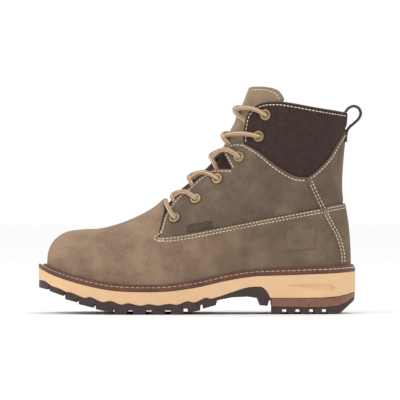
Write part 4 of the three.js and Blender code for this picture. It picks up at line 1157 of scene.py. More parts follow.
@dataclass
class Upper:
    """The leathers of the upper, their linings and the padded collar."""

    leather: float = 1.8
    lining: float = 0.8

    def build(self) -> None:
        """Make the leathers, the linings, the collar pad and the bound top edge."""
        for name, cut in cuts().items():
            sides = (Side.LATERAL, Side.MEDIAL) if cut.side is Side.LATERAL else (cut.side,)
            for side in sides:
                cut.side = side
                tag = f"_{side.name.lower()}" if len(sides) == 2 else ""
                verts, faces, rim = cut.build(thick=self.leather)
                make_piece(name + tag + "_hide", verts, faces, [cut.finish], replaces=[name + tag], edge=rim)
                self._line(cut, tag)
        self._pad()
        self._bind()

    def _line(self, cut: Cut, tag: str) -> None:
        """Make the lining behind a leather: the same patch, laid deeper and left plain.

        Args:
            cut: the leather.
            tag: the side at the end of its name, or nothing.
        """
        nodes = {"vamp": "vamp_lining", "quarter": "quarter_lining", "back_panel": "back_lining",
                 "heel_counter_cover": "heel_lining", "collar_panel": "collar_lining"}
        plain = Cut(cut.name, cut.bottom, cut.top, cut.left, cut.right, cut.side, ("foot",) * 4,
                    np.linspace(0, 1, 34) if cut.side is not Side.BOTH else ease(np.linspace(0, 1, 30)),
                    np.linspace(0, 1, 26), LINING_CLOTH)
        verts, faces, _ = plain.build(lining_depth, self.lining)
        make_piece(nodes[cut.name] + tag + "_cloth", verts, faces, [LINING_CLOTH], replaces=[nodes[cut.name] + tag])

    def _pad(self) -> None:
        """Make the collar's foam: a crowned slab between leather and lining, thin at its rim."""
        back = SKIN.back
        pad = Cut(
            "pad", Line(((80, 134), (96, 131.5), (116, 139), (back.x_at(148), 148))),
            Line(((78, 177.5), (96, 177), (back.x_at(175.5), 175.5))), Line(((80, 134), (78, 155), (78, 177.5))),
            back.between(148, 175.5), Side.BOTH, ("foot",) * 4, ease(np.linspace(0, 1, 40)), np.linspace(0, 1, 28),
        )
        xz = pad.plan()
        rim = np.minimum.reduce([d for k, d in enumerate(pad.distances(SKIN.point(xz, -1, 0.0))) if k != 3])
        foam = 5.1 * span(xz[..., 0], 66, 90) * span(xz[..., 1], 122, 136) * span(-xz[..., 1], -184, -174)
        thick = np.maximum(0.5, (foam - 1.2)) * np.sqrt(np.clip(0.15 + rim / 9, 0, 1))
        halves = [[SKIN.point(xz, s, -2.3 - k * thick) for s in (-1, 1)] for k in (0, 1)]
        outer, inner = (np.concatenate([a, b[:, -2::-1]], axis=1) for a, b in halves)
        verts, faces, _ = slab(outer, inner)
        piece = make_piece("collar_pad", verts, outward(verts, faces), [FOAM], replaces=["collar_foam"])

    def _bind(self) -> None:
        """Make the bound top edge: a rolled strip of hide between the collar's leather and lining."""
        rim = Line((*COLLAR_TOP[:-1], (SKIN.back.x_at(181.6), 181.6)))(ease(np.linspace(0.1, 1, 90)))
        run = np.concatenate([SKIN.point(rim, -1, -2.1), SKIN.point(rim, 1, -2.1)[-2::-1]]) - (0, 0, 0.5)
        verts, faces, _ = tube(run, 1.25, 12)
        make_piece("collar_binding", verts, outward(verts, faces), [NUBUCK])


@dataclass
class Tongue:
    """The tongue: dark where it is sewn in under the laces, light and padded above its fold."""

    fold: float = 145.0
    dark_up_to: float = 148.5
    padding: float = 5.2
    top_radius: float = 2.0
    ridge: Points = ((-34, 92), (-24, 102.4), (-16, 111.6), (-3, 122), (9.6, 133), (17, 142), (23.6, 151.5),
                     (30, 166), (35.4, 178), (41.4, 191), (47, 205.6))
    top: Points = ((78.4, 194), (74.6, 200.4), (69, 203.8), (60, 205.6), (53, 205.9), (47, 205.6))
    side: Points = ((-30, 73), (-14, 84), (8, 101), (31, 121), (43, 133), (55, 152), (64, 170), (70, 181), (78.4, 194))

    def build(self) -> None:
        """Make the tongue as one crowned slab, padded thicker above the fold."""
        sheet = Cut("tongue", Line(((-34, 92), (-38, 84), (-30, 73))), Line(self.top), Line(self.side),
                    Line(self.ridge), Side.BOTH, ("foot", "free", "free", "foot"), ease(shares(40, 0.05, 0)),
                    shares(110, 0, 0.012))
        xz = sheet.plan()
        near = sheet.distances(np.concatenate([xz, 0 * xz[..., :1]], axis=-1))
        rim = np.minimum(near[1], near[2])
        upper = span(xz[..., 1] + 0.83 * (xz[..., 0] - 9), self.fold - 4, self.fold + 4)
        t = np.clip(1 - rim / self.top_radius, 0, 1)
        roll = self.top_radius * (1 - np.sqrt(1 - t * t)) * 0.8
        dent = roll + 0.35 * np.exp(-(((rim - 3.2) / 0.7) ** 2)) * upper
        # Two shallow creases across the padded part, where it bends with the ankle.
        for height, deep in ((160.0, 0.6), (179.0, 0.45)):
            dent = dent + deep * np.exp(-(((xz[..., 1] + 0.5 * (xz[..., 0] - 20) - height) / 3.0) ** 2)) * upper
        grid = self._bowed(xz)
        across, up = np.gradient(grid, axis=1), np.gradient(grid, axis=0)
        normal = np.cross(across, up)
        normal /= np.maximum(np.linalg.norm(normal, axis=-1, keepdims=True), 1e-9)
        middle = grid.shape[1] // 2
        if normal[40, middle, 0] > 0:
            normal = -normal
        both = lambda values: np.concatenate([values, values[:, -2::-1]], axis=1)[..., None]
        thick = (1.9 + (self.padding - 1.9) * upper * smooth(rim / 12)) - roll
        outer = grid - normal * both(dent)
        inner = outer - normal * both(thick)
        verts, faces, kind = slab(outer, inner)
        row = int(np.searchsorted(xz[:, -1, 1], self.dark_up_to))
        middle = verts[faces].mean(1)
        line = xz[row][np.argsort(xz[row, :, 0])]
        below = middle[:, 2] < np.interp(middle[:, 0], line[:, 0], line[:, 1])
        cells = grid.shape[1] - 1
        front = np.arange(len(faces)) // cells < row
        flat = len(kind[kind == 0])
        below[:flat] = front[:flat]
        kinds = np.where(kind == 1, 2, np.where(below, 1, 0))
        rims = np.concatenate([rim, rim[:, -2::-1]], axis=1).ravel()
        piece = make_piece(
            "tongue_padded", verts, outward(verts, faces), [NUBUCK_LIGHT, SUEDE, LINING_CLOTH], body="boot",
            replaces=["tongue_gusset", "tongue_upper", "tongue_padding", "tongue_lining"], kinds=kinds,
            edge=np.concatenate([rims, np.zeros(rims.size)]),
        )
        bend_piece(piece)

    def half(self, xz: Array) -> Array:
        """Return the tongue's half-width: the skin's less 8 mm, rounded over the first 13 mm of the ridge.

        Args:
            xz: points of the side view.

        Returns:
            Half-widths in millimetres.
        """
        line = catmull_rom(self.ridge, 160)
        far, side = away(xz, line)
        t = np.clip(np.where(side > 0, far, 0) / 13, 0, 1)
        skin = SKIN.half(xz) * np.sqrt(np.maximum(SKIN.shape(xz), 0.0))
        return np.maximum(skin - 8.0 * smooth(t * 1.2), 1.0) * np.sqrt(t * (2 - t))

    def _bowed(self, xz: Array) -> Array:
        """Return both halves of the tongue's face as one grid.

        Args:
            xz: points of the side view, by row and column.

        Returns:
            Points in the drawing frame, lateral half first.
        """
        half = self.half(xz)
        half[:, -1] = 0
        halves = [np.stack([xz[..., 0], SKIN.centre(xz) + s * half, xz[..., 1]], axis=-1) for s in (-1, 1)]
        return np.concatenate([halves[0], halves[1][:, -2::-1]], axis=1)

    def stitches(self, thread: "Thread") -> list[tuple[Array, Array]]:
        """Return the row of stitches 3.2 mm inside the top edge, on both halves.

        Args:
            thread: the thread that sews it.

        Returns:
            Vertices and quads of each half.
        """
        line = catmull_rom(((49.2, 202.7), (56, 202.9), (63, 202.2), (68.4, 200.3), (72.6, 196.8), (74.6, 193.2)), 140)
        rows = []
        for side in (-1, 1):
            place = np.stack([line[:, 0], SKIN.centre(line) + side * self.half(line), line[:, 1]], axis=-1)
            normal = np.tile([-0.25, side, 0.0], (len(line), 1))
            rows.append(thread.on(place + normal * 0.05, normal))
        return rows


def bend_piece(piece: bpy.types.Object) -> None:
    """Take a piece off its body and bake its place into its mesh.

    Args:
        piece: the piece.
    """
    piece.parent = None
    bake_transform(piece)


@dataclass
class Eyelets:
    """Rolled eyelets: a rounded flange on the leather, and a barrel down to the lining."""

    bore: float = 2.35
    flange: float = 5.2
    count: int = 28

    def build(self) -> None:
        """Make the eyelets of each side as one piece, and their painted shadows as one more."""
        for side in (Side.LATERAL, Side.MEDIAL):
            tag = side.name.lower()
            rings, shadow_discs = [], []
            for x, z in EYELETS:
                rings.append(self._turned(x, z, side.value, self._profile()))
                # Each eyelet gets a nearly black disc down in its bore: a painted shadow.
                shadow_discs.append(
                    self._turned(x, z, side.value, np.array([(0, -1.5), (2.2, -1.5), (2.34, -1.9), (0, -2.4)]))
                )
            verts, faces = merge(rings)
            make_piece(f"eyelets_{tag}", verts, outward(verts, faces), [BRASS],
                       replaces=[f"eyelet_{tag}_{k}" for k in range(1, 7)], sharp=60)
            verts, faces = merge(shadow_discs)
            make_piece(f"eyelet_wells_{tag}", verts, outward(verts, faces), [PAINTED_EYELET_SHADOW])

    def _profile(self) -> Array:
        """Return (radius, height) points: down the bore, under the foot, up and over a round rim.

        Returns:
            The profile, in order.
        """
        a = np.linspace(0, np.pi, 13)
        middle, half = (self.bore + self.flange) / 2, (self.flange - self.bore) / 2
        # A superellipse of power 2.6 in the rim's section: a broad flat crown with soft shoulders.
        power = lambda v: np.sign(v) * np.abs(v) ** (2 / 2.6)
        rim = np.stack([middle + half * power(np.cos(a)), 0.0 + 0.95 * power(np.sin(a))], axis=-1)
        barrel = np.array([(self.bore, -1.2), (self.bore, -3.6), (3.1, -4.0), (3.6, -3.6), (3.6, -0.4)])
        return np.concatenate([rim, barrel])

    def _turned(self, x: float, z: float, side: float, profile: Array) -> tuple[Array, Array]:
        """Turn a profile about the leather's normal at a place, into a closed ring or a disc.

        Args:
            x: the place along X.
            z: the height of the place.
            side: -1 or +1.
            profile: (radius, height) points.

        Returns:
            Vertices and quads.
        """
        foot, out = SKIN.frame(np.array([[x, z]]), side)
        foot, out = foot[0], out[0]
        e1 = np.cross(out, (0, 0, 1.0))
        e1 /= np.linalg.norm(e1)
        e2 = np.cross(out, e1)
        a = 2 * np.pi * np.arange(self.count) / self.count
        spin = e1 * np.cos(a)[:, None] + e2 * np.sin(a)[:, None]
        verts = foot + profile[:, None, :1] * spin[None] + profile[:, None, 1:] * out
        closed = np.concatenate([verts, verts[:1]])
        faces = grid_faces(len(closed), self.count, closed=True)
        faces = np.where(faces >= len(profile) * self.count, faces - len(profile) * self.count, faces)
        if profile[0, 0] == 0:
            return self._poles(verts)
        return verts.reshape(-1, 3), faces

    def _poles(self, verts: Array) -> tuple[Array, Array]:
        """Close a disc whose first and last rings are points.

        Args:
            verts: the rings, shape (rings, count, 3).

        Returns:
            Vertices and quads.
        """
        n = self.count
        body = verts[1:-1].reshape(-1, 3)
        points = np.concatenate([body, verts[0, :1], verts[-1, :1]])
        i = np.arange(n)
        j = (i + 1) % n
        rows = len(verts) - 2
        first = np.stack([j, i, np.full(n, len(body)), np.full(n, len(body))], axis=-1)
        last = np.stack([i, j, np.full(n, len(body) + 1), np.full(n, len(body) + 1)], axis=-1)
        last[:, :2] += (rows - 1) * n
        return points, np.concatenate([grid_faces(rows, n, closed=True), first, last])


def centripetal(points: Array, each: int = 8) -> Array:
    """Sample a centripetal Catmull-Rom curve: knots are set apart by the root of the distance.

    Args:
        points: the points that it passes through.
        each: samples between two points.

    Returns:
        The sampled points, with the last one kept.
    """
    p = np.concatenate([2 * points[:1] - points[1:2], points, 2 * points[-1:] - points[-2:-1]])
    gaps = np.sqrt(np.linalg.norm(np.diff(p, axis=0), axis=1))
    k = np.concatenate([[0], np.cumsum(gaps)])
    t0, t1, t2, t3 = (k[i : len(k) - 3 + i, None, None] for i in range(4))
    p0, p1, p2, p3 = (p[i : len(p) - 3 + i, None, :] for i in range(4))
    t = t1 + (t2 - t1) * (np.arange(each) / each)[None, :, None]
    mix = lambda a, b, ta, tb: ((tb - t) * a + (t - ta) * b) / (tb - ta)
    a1, a2, a3 = mix(p0, p1, t0, t1), mix(p1, p2, t1, t2), mix(p2, p3, t2, t3)
    c = mix(mix(a1, a2, t0, t2), mix(a2, a3, t1, t3), t1, t2)
    return np.concatenate([c.reshape(-1, 3), points[-1:]])


@dataclass
class Laces:
    """One round lace: up through each eyelet, over the front and back under the other facing."""

    diameter: float = 4.2
    bed: float = 6.5
    noses: Points = ((34.9, 183.4), (24.2, 159.7), (13.2, 141.0), (-6.6, 121.6), (-22.0, 104.6))
    rises: tuple[float, ...] = (3.4, 2.0, 6.0, 5.0, 5.0)
    bar: tuple[float, float] = (-29.6, 102.4)

    def tails(self) -> None:
        """Make the two free ends, which run down inside the boot and along the footbed."""
        for side in (Side.LATERAL, Side.MEDIAL):
            tag = side.name.lower()
            start = (EYELETS[5][0] + 5.5 * 1.3, EYELETS[5][1] - 6.5 * 1.3)
            run = np.array([(67.2, 170), (68.2, 158), (68.8, 144), (69.6, 130), (71.2, 117), (72.2, 104), (72.6, 92),
                            (72, 80), (70, 69), (65.5, 58.5)], float)
            rest_x = np.array([57, 46, 34, 22, 10, -2], float)
            rest = np.stack([rest_x, SKIN.sole_z(rest_x) + 13.0], axis=-1)
            inside = np.concatenate([run, rest])
            path = np.concatenate([
                SKIN.point(np.array([start]), side.value, -self.bed),
                SKIN.point(inside, side.value, -(lining_depth(inside) + 0.8 + self.diameter / 2 + 1)),
            ])
            fine = centripetal(path, 8)
            verts, faces, uv = tube(fine, self.diameter / 2, 12)
            tail = make_piece(f"lace_end_{tag}", verts, outward(verts, faces), [LACE_BRAID],
                              replaces=[f"lace_tail_{tag}"], uv=uv)
            on = fine[-1] - fine[-2]
            on /= np.linalg.norm(on)
            along = np.array([0.3, 0.9, 17.0, 17.7, 18.0])
            verts, faces, _ = tube(fine[-1] + along[:, None] * on, np.array([1.2, 1.75, 1.75, 1.4, 0.8]), 16)
            tip = make_piece(f"lace_tip_{tag}", verts, outward(verts, faces), [PLASTIC], replaces=[f"aglet_{tag}"])

    def laced(self) -> None:
        """Make the laced part, from inside eyelet 6 of one side round to the same on the other."""
        first, last = self._half(-1, True), self._half(1, False)[::-1]
        x, z = self.bar
        path = np.concatenate([first, [(x + 0.7, -6.0, z - 0.4), (x, 0.0, z), (x + 0.7, 6.0, z - 0.4)], last])
        fine = centripetal(path, 7)
        verts, faces, uv = tube(fine, self.diameter / 2, 14)
        make_piece("lace_laced", verts, outward(verts, faces), [LACE_BRAID], replaces=["lace"], uv=uv)
        LOG.info("laced part: %.0f mm", float(np.linalg.norm(np.diff(fine, axis=0), axis=1).sum()))

    def _half(self, side: int, over: bool) -> Array:
        """Return one strand's points; it changes sides at each crossing.

        Args:
            side: the side it starts on.
            over: whether it lies on top at even levels.

        Returns:
            Its points in order.
        """
        points: list[Array] = []
        above = self.diameter / 2 + 0.2
        on = lambda x, z, lift: points.append(SKIN.point(np.array([[x, z]]), side, lift)[0])

        def over_leather(x: float, z: float, rise: float) -> None:
            """Put a point beside the skin, clear of it sideways.

            Args:
                x: the place along X.
                z: its height.
                rise: how far it stands out of the skin.
            """
            xz = np.array([[x, z]])
            half = float((SKIN.half(xz) * np.sqrt(np.maximum(SKIN.shape(xz), 0)))[0])
            points.append(np.array([x, float(SKIN.centre(xz)[0]) + side * (half + rise), z]))

        on(EYELETS[5][0] + 5.5, EYELETS[5][1] - 6.5, -self.bed)
        for k in range(5, 0, -1):
            (hx, hz), (nx, nz), rise = EYELETS[k], self.noses[5 - k], self.rises[5 - k]
            push = 1.5 if over == (k % 2 == 0) else -1.5
            for deep in (-self.bed - 0.3, -3, 1.0):
                on(hx, hz, deep)
            for t in (0.16, 0.42, 0.66):
                bow = rise * math.sin(math.pi * t)
                over_leather(hx + (nx - hx) * t, hz + (nz + 2 - hz) * t + bow, above + 0.9 * math.sin(math.pi * t))
            points.append(np.array([nx + 1.2 - 0.5 * push, side * 10.0, nz + 2.6 + 0.5 * push]))
            points.append(np.array([nx - 0.75 * push, 0.0, nz + 0.75 * push]))
            side = -side
            points.append(np.array([nx + 1.6 - 0.5 * push, side * 10.0, nz - 3.2 + 0.5 * push]))
            ex, ez = EYELETS[k - 1]
            for t, lift in ((0.36, -self.bed), (0.62, -self.bed - 0.2), (0.84, -self.bed - 0.4)):
                on(nx + (ex - nx) * t, nz - 3 + (ez - nz + 3) * t, lift)
        for deep in (-self.bed - 0.3, -3, 1.0):
            on(*EYELETS[0], deep)
        over_leather(-22.6, 89.4, above + 0.9)
        over_leather(-25.4, 94.0, above + 0.4)
        over_leather(-28.2, 99.6, above - 0.6)
        return np.array(points)


@dataclass
class PullLoop:
    """The strap at the heel: a free bight over a tab that is sewn flat to the back."""

    width: float = 15.0
    thickness: float = 2.4

    def build(self) -> None:
        """Carry a rounded flat section along the strap's line."""
        line = Line((
            (132.6, 178.0), (134.2, 182.0), (137.4, 186.2), (142, 188.2), (146.6, 186.4), (148.6, 181.8),
            (146.8, 176.8), (142.6, 172.6), (138.4, 169.0), (135.9, 164.8), (135.1, 159), (135.0, 155.5)))
        s = np.linspace(0, 1, 90)
        centre = line(s)
        t = np.gradient(centre, axis=0)
        t /= np.linalg.norm(t, axis=1, keepdims=True)
        normal = np.stack([-t[:, 1], np.zeros(len(s)), t[:, 0]], axis=-1)
        # A superellipse of power 6: flat faces, rounded edges.
        a = 2 * np.pi * np.arange(32) / 32
        power = lambda v: np.sign(v) * np.abs(v) ** (1 / 3)
        across, out = self.width / 2 * power(np.cos(a)), self.thickness / 2 * power(np.sin(a))
        middle = np.stack([centre[:, 0], np.zeros(len(s)), centre[:, 1]], axis=-1)
        verts = middle[:, None] + across[None, :, None] * np.array([0, 1.0, 0]) + out[None, :, None] * normal[:, None]
        count = len(a)
        faces = [grid_faces(len(s), count, closed=True)]
        i = np.arange(count // 2 - 1)
        ladder = np.stack([i, i + 1, count - 2 - i, count - 1 - i], axis=-1)
        faces += [ladder[:, ::-1], ladder + (len(s) - 1) * count]
        outside = (np.sin(a) + np.sin(np.roll(a, -1))) / 2
        kinds = np.concatenate([np.tile(np.where(outside < -0.01, 1, 0), len(s) - 1), np.zeros(2 * len(i), int)])
        flat = verts.reshape(-1, 3)
        piece = make_piece("pull_strap", flat, outward(flat, np.concatenate(faces)), [NUBUCK, SUEDE],
                           replaces=["pull_loop", "pull_loop_tab"], kinds=kinds, edge=np.full(len(flat), 9.0))
        bend_piece(piece)


# ---- Sole -----------------------------------------------------------------------------------

SCALLOP: Points = (
    (-150, 32), (-144.5, 30.2), (-138.7, 29.3), (-131.7, 25.1), (-125.1, 23.1), (-118.5, 20.1), (-113.2, 19.2),
    (-102, 14.8), (-96.4, 15.6), (-86, 11.2), (-78.1, 12.1), (-69, 9), (-61.9, 10.1), (-51.7, 7.9), (-44, 9.3),
    (-35.6, 8.1), (-25.8, 9.5), (-18.2, 8.7), (-9.2, 11.8), (-2.2, 10.8), (6.9, 14.8), (12.4, 14.1),
    (20.8, 16.3), (31.2, 19.8), (45.2, 24), (56.4, 24.7), (59.8, 23.4), (63.1, 19.9), (66.2, 14.5),
)
HEEL_TAN_FOOT: Points = ((66.4, 14.5), (95, 14.5), (114.5, 14.9), (128, 15.9), (136, 17.6), (142.9, 19.4), (152, 22.5))
HEEL_GROOVE: Points = (
    (81, 26), (95, 26.4), (110, 26.7), (119, 26.5), (123, 25.4), (124.5, 23.2), (123, 21.2), (119, 20.4),
    (110, 21.2), (95, 23.4), (84, 25), (81, 26),
)
HEEL_LOW: Points = ((67, 6.8), (94.5, 6), (114.5, 6.2), (128, 7.2), (134.6, 9.9), (142.2, 15), (150, 20.4))
FORE_LUGS = (
    (-150, -135.2, 24, 21.6), (-134, -121, 20.4, 16.2), (-119.4, -108.6, 13.4, 10.6), (-107, -93.6, 9, 5.8),
    (-91.6, -76.8, 4.6, 1.6), (-74.6, -63.6, 0.6, 0), (-57.8, -47, 0, 0), (-40.6, -29.8, 0, 0),
    (-23.6, -13, 0, 0), (-8.4, 2.4, 1.6, 3.6), (5, 16.6, 5, 8.2),
)
HEEL_LUGS = ((67.6, 76), (81.6, 88), (93.6, 100.5), (106, 112), (118, 128))


def profile_of(points: Points | Array, curved: bool = False) -> Callable[[Array], Array]:
    """Return height by X through points, along straight or Catmull-Rom spans."""
    xy = catmull_rom(points, 900) if curved else np.asarray(points, float)
    return lambda x: np.interp(x, xy[:, 0], xy[:, 1])


class Plan:
    """The outline of the sole seen from above: the skin 6 mm over the sole, moved out."""

    def __init__(self, lift: float = 6.0) -> None:
        """Sample both sides of the outline from toe to heel.

        Args:
            lift: how far over the sole the skin is read.
        """
        s = np.linspace(0, 1, 500)
        self.skin_x = -137 + (SKIN.back.x_at(40) + 137) * (1 - np.cos(np.pi * s)) / 2
        self.xz = np.stack([self.skin_x, SKIN.sole_z(self.skin_x) + lift], axis=-1)
        self.frames = {side: SKIN.frame(self.xz, side) for side in (-1, 1)}

    def outline(self, side: int, reach: Array) -> Array:
        """Return (x, y) of one side moved out by reach, in a horizontal direction.

        Args:
            side: -1 or +1.
            reach: how far out, as one number or by sample.

        Returns:
            Points, shape (samples, 2).
        """
        place, normal = self.frames[side]
        flat = normal[:, :2] / np.maximum(np.linalg.norm(normal[:, :2], axis=1, keepdims=True), 1e-6)
        return place[:, :2] + flat * np.asarray(reach)[..., None]

    def ends(self, reach: Array) -> tuple[float, float]:
        """Return the lowest and highest X of the outline."""
        x = self.outline(-1, reach)[:, 0]
        return float(x.min()), float(x.max())

    def across(self, side: int, xs: Array, reach: Array) -> Array:
        """Return y of one side at places along X.

        Args:
            side: -1 or +1.
            xs: the places.
            reach: how far the outline is moved out.

        Returns:
            One y for each place.
        """
        xy = self.outline(side, reach)
        order = np.argsort(xy[:, 0], kind="stable")
        return np.interp(xs, xy[order, 0], xy[order, 1])


@dataclass
class SoleLayer:
    """A slab of the sole between two heights, with rounded rims and an optional pressed wall.

    Its rings follow the plan from the heel along the lateral side to the toe and back. Each
    level's inset is a quarter circle of the rim's radius near the top and the bottom.
    """

    name: str
    finish: Finish
    low: Callable[[Array], Array]
    high: Callable[[Array], Array]
    inset: float
    replaces: tuple[str, ...]
    start: float | None = None
    end: float | None = None
    radius: tuple[float, float] = (0.7, 0.7)
    levels: int = 12
    count: int = 260
    corners: tuple[float, ...] = ()
    wall: Callable[[Array], Array] | None = None
    reach: Callable[[Array], Array] | None = None
    plan_lift: float = 6.0

    def build(self) -> bpy.types.Object:
        """Make the layer and return its piece.

        Returns:
            The piece.
        """
        plan = Plan(self.plan_lift)
        base = (self.reach(plan.skin_x) if self.reach else SKIN.welt_reach(plan.skin_x)) - self.inset
        x0, x1 = plan.ends(base)
        a, b = self.start if self.start is not None else x0, self.end if self.end is not None else x1
        s = np.linspace(0, 1, self.count)
        crowd = a + (b - a) * (1 - np.cos(np.pi * s)) / 2
        even = a + (b - a) * s
        if self.start is not None and self.end is None:
            crowd = a + (b - a) * np.sin(np.pi * s / 2)
        if self.end is not None and self.start is None:
            crowd = a + (b - a) * (1 - np.cos(np.pi * s / 2))
        xs = np.unique(np.concatenate([0.5 * crowd + 0.5 * even, [c for c in self.corners if a < c < b]]))
        low, high = self.low(xs), self.high(xs)
        height = np.maximum(high - low, 0.3)
        rims = []
        for v in (1 - np.cos(np.pi * np.linspace(0, 1, self.levels))) / 2:
            up, down = (1 - v) * height, v * height
            inset = np.zeros(len(xs))
            for gap, radius in ((down, self.radius[0]), (up, self.radius[1])):
                t = np.clip(1 - gap / radius, 0, 1)
                inset = inset + radius * (1 - np.sqrt(1 - t * t))
            z = low + v * height
            mean = float(inset.mean())
            lo, hi = plan.ends(base - mean)
            at = xs.copy()
            if self.start is None:
                at = at + (lo - x0) * np.clip(1 - (xs - x0) / 14, 0, 1)
            if self.end is None:
                at = at + (hi - x1) * np.clip(1 - (x1 - xs) / 14, 0, 1)
            push = self.wall(np.stack([xs, z], axis=-1)) if self.wall else 0.0
            sides = []
            for side in (-1, 1):
                y = plan.across(side, at, base - mean)
                y = y - side * (inset - mean + push)
                sides.append(np.stack([at, y, z], axis=-1))
            rims.append(np.concatenate([sides[0], sides[1][::-1]]))
        verts, faces = stack(rims)
        return make_piece(self.name, verts, faces, [self.finish], replaces=self.replaces, sharp=35)


def heel_press(xz: Array) -> Array:
    """Return how far the tapered groove of the heel is pressed in: 1.8 mm with soft walls.

    Args:
        xz: points of the side view.

    Returns:
        Depths in millimetres.
    """
    far, _ = away(xz, np.asarray(HEEL_GROOVE, float))
    poly = np.asarray(HEEL_GROOVE[:-1], float)
    nxt = np.roll(poly, -1, axis=0)
    x, z = xz[..., 0:1], xz[..., 1:2]
    crosses = (poly[:, 1] > z) != (nxt[:, 1] > z)
    rise = np.where(nxt[:, 1] == poly[:, 1], 1e-9, nxt[:, 1] - poly[:, 1])
    hit = poly[:, 0] + (z - poly[:, 1]) * (nxt[:, 0] - poly[:, 0]) / rise
    inside = (crosses & (x < hit)).sum(-1) % 2 == 1
    return np.where(inside, 1.8 * smooth(far / 1.1), 0.0)


@dataclass
class SoleUnit:
    """Midsole, outsole, heel layer, heel tread, welt and footbed."""

    lug_depth: float = 3.6
    welt_height: float = 3.7
    rib: float = 6.3

    def build(self) -> None:
        """Make each layer from the top down."""
        tan = profile_of([*catmull_rom(SCALLOP, 500), *np.array(HEEL_TAN_FOOT)])
        SoleLayer("midsole_foam", EVA, tan, lambda x: SKIN.sole_z(x) - 0.05, 0.0, ("midsole",),
                  levels=30, count=330, wall=heel_press, corners=(66.2, 66.4)).build()
        foot, corners = self._fore_foot()
        top = profile_of(catmull_rom(SCALLOP, 500) - (0, 0.3))
        SoleLayer("outsole_tread", RUBBER, foot, top, 0.4, ("outsole",), end=65.9, radius=(0.6, 0.3), levels=8,
                  count=300, corners=corners).build()
        SoleLayer("heel_band", HEEL_RUBBER, profile_of(HEEL_LOW), lambda x: profile_of(HEEL_TAN_FOOT)(x) - 0.3,
                  0.5, ("heel_layer",), start=66.9, radius=(0.4, 0.4), levels=8, count=120).build()
        foot, corners = self._heel_foot()
        SoleLayer("heel_tread_lugs", RUBBER, foot, lambda x: np.maximum(profile_of(HEEL_LOW)(x) - 0.3, foot(x) + 0.4),
                  0.8, ("heel_tread",), start=67.3, radius=(0.5, 0.3), levels=8, count=120, corners=corners).build()
        self._welt()
        self._footbed()

    def _fore_foot(self) -> tuple[Callable[[Array], Array], tuple[float, ...]]:
        """Return the tread's lower line: flat lugs with sloped flanks, gaps between, a bare shank.

        Returns:
            The line, as height by X, and the places where it bends.
        """
        line: list[tuple[float, float]] = []
        for i, (a, b, za, zb) in enumerate(FORE_LUGS):
            line += [(a, za), (b, zb)]
            if i + 1 < len(FORE_LUGS):
                c, _, zc, _ = FORE_LUGS[i + 1]
                roof = max(zb, zc) + self.lug_depth
                lean = min(0.7, (c - b) / 4)
                line += [(b + lean, roof), (c - lean, roof)]
        line += [(18, 12.6), (31.2, 15.2), (45.2, 15.8), (53.5, 14.6), (56, 8), (63.4, 7.4), (64.6, 12), (66, 12.4)]
        return profile_of(line), tuple(x for x, _ in line)

    def _heel_foot(self) -> tuple[Callable[[Array], Array], tuple[float, ...]]:
        """Return the heel tread's lower line.

        Returns:
            The line, as height by X, and the places where it bends.
        """
        line: list[tuple[float, float]] = []
        for i, (a, b) in enumerate(HEEL_LUGS):
            line += [(a, 0), (b, 0)]
            if i + 1 < len(HEEL_LUGS):
                line += [(b + 0.8, 4.2), (HEEL_LUGS[i + 1][0] - 0.8, 4.2)]
        line += [(134.5, 4.9), (141.4, 10.6), (149, 17.6)]
        return profile_of(line), tuple(x for x, _ in line)

    def _welt(self) -> None:
        """Carry the storm welt's section round the plan: a flat ledge and a rounded rib."""
        plan = Plan()
        out = SKIN.welt_reach(plan.skin_x)
        t = np.linspace(np.pi, 0, 7)
        steps = [
            (0.5, 0.3), (None, 0.3), (None, self.welt_height - 0.9), (-0.9, self.welt_height), (3.6, self.welt_height)
        ]
        rim = [(1.75 + 1.25 * math.cos(a), self.rib - 1.2 + 1.2 * math.sin(a)) for a in t[::-1]]
        rings = []
        for reach, up in steps + rim:
            r = out - 0.15 if reach is None else (out - 0.9 if reach < 0 else np.full(len(out), reach))
            halves = []
            for side in (-1, 1):
                xy = plan.outline(side, r)
                halves.append(np.column_stack([xy, SKIN.sole_z(xy[:, 0]) + up]))
            rings.append(np.concatenate([halves[0], halves[1][-2:0:-1]]))
        grid = np.stack(rings + rings[:1], axis=0)[:, ::1]
        count = grid.shape[1]
        faces = grid_faces(len(grid), count, closed=True)
        faces = np.where(faces >= len(rings) * count, faces - len(rings) * count, faces)
        verts = np.concatenate(rings)
        make_piece("storm_welt", verts, outward(verts, faces), [WELT_RUBBER], replaces=["welt"], sharp=40)

    def _footbed(self) -> None:
        """Make the footbed: a foam slab with rounded rims."""
        bed = SoleLayer(
            "footbed_cushion", BED_CLOTH, lambda x: SKIN.sole_z(x) + 5.9, lambda x: SKIN.sole_z(x) + 9.9, 0.0,
            ("footbed",), radius=(0.8, 1.6), levels=9, count=150, plan_lift=10.0,
            reach=lambda x: -(lining_depth(np.stack([x, SKIN.sole_z(x) + 10], axis=-1)) + 0.8 + 1.9),
        ).build()


# ---- Stitches -------------------------------------------------------------------------------


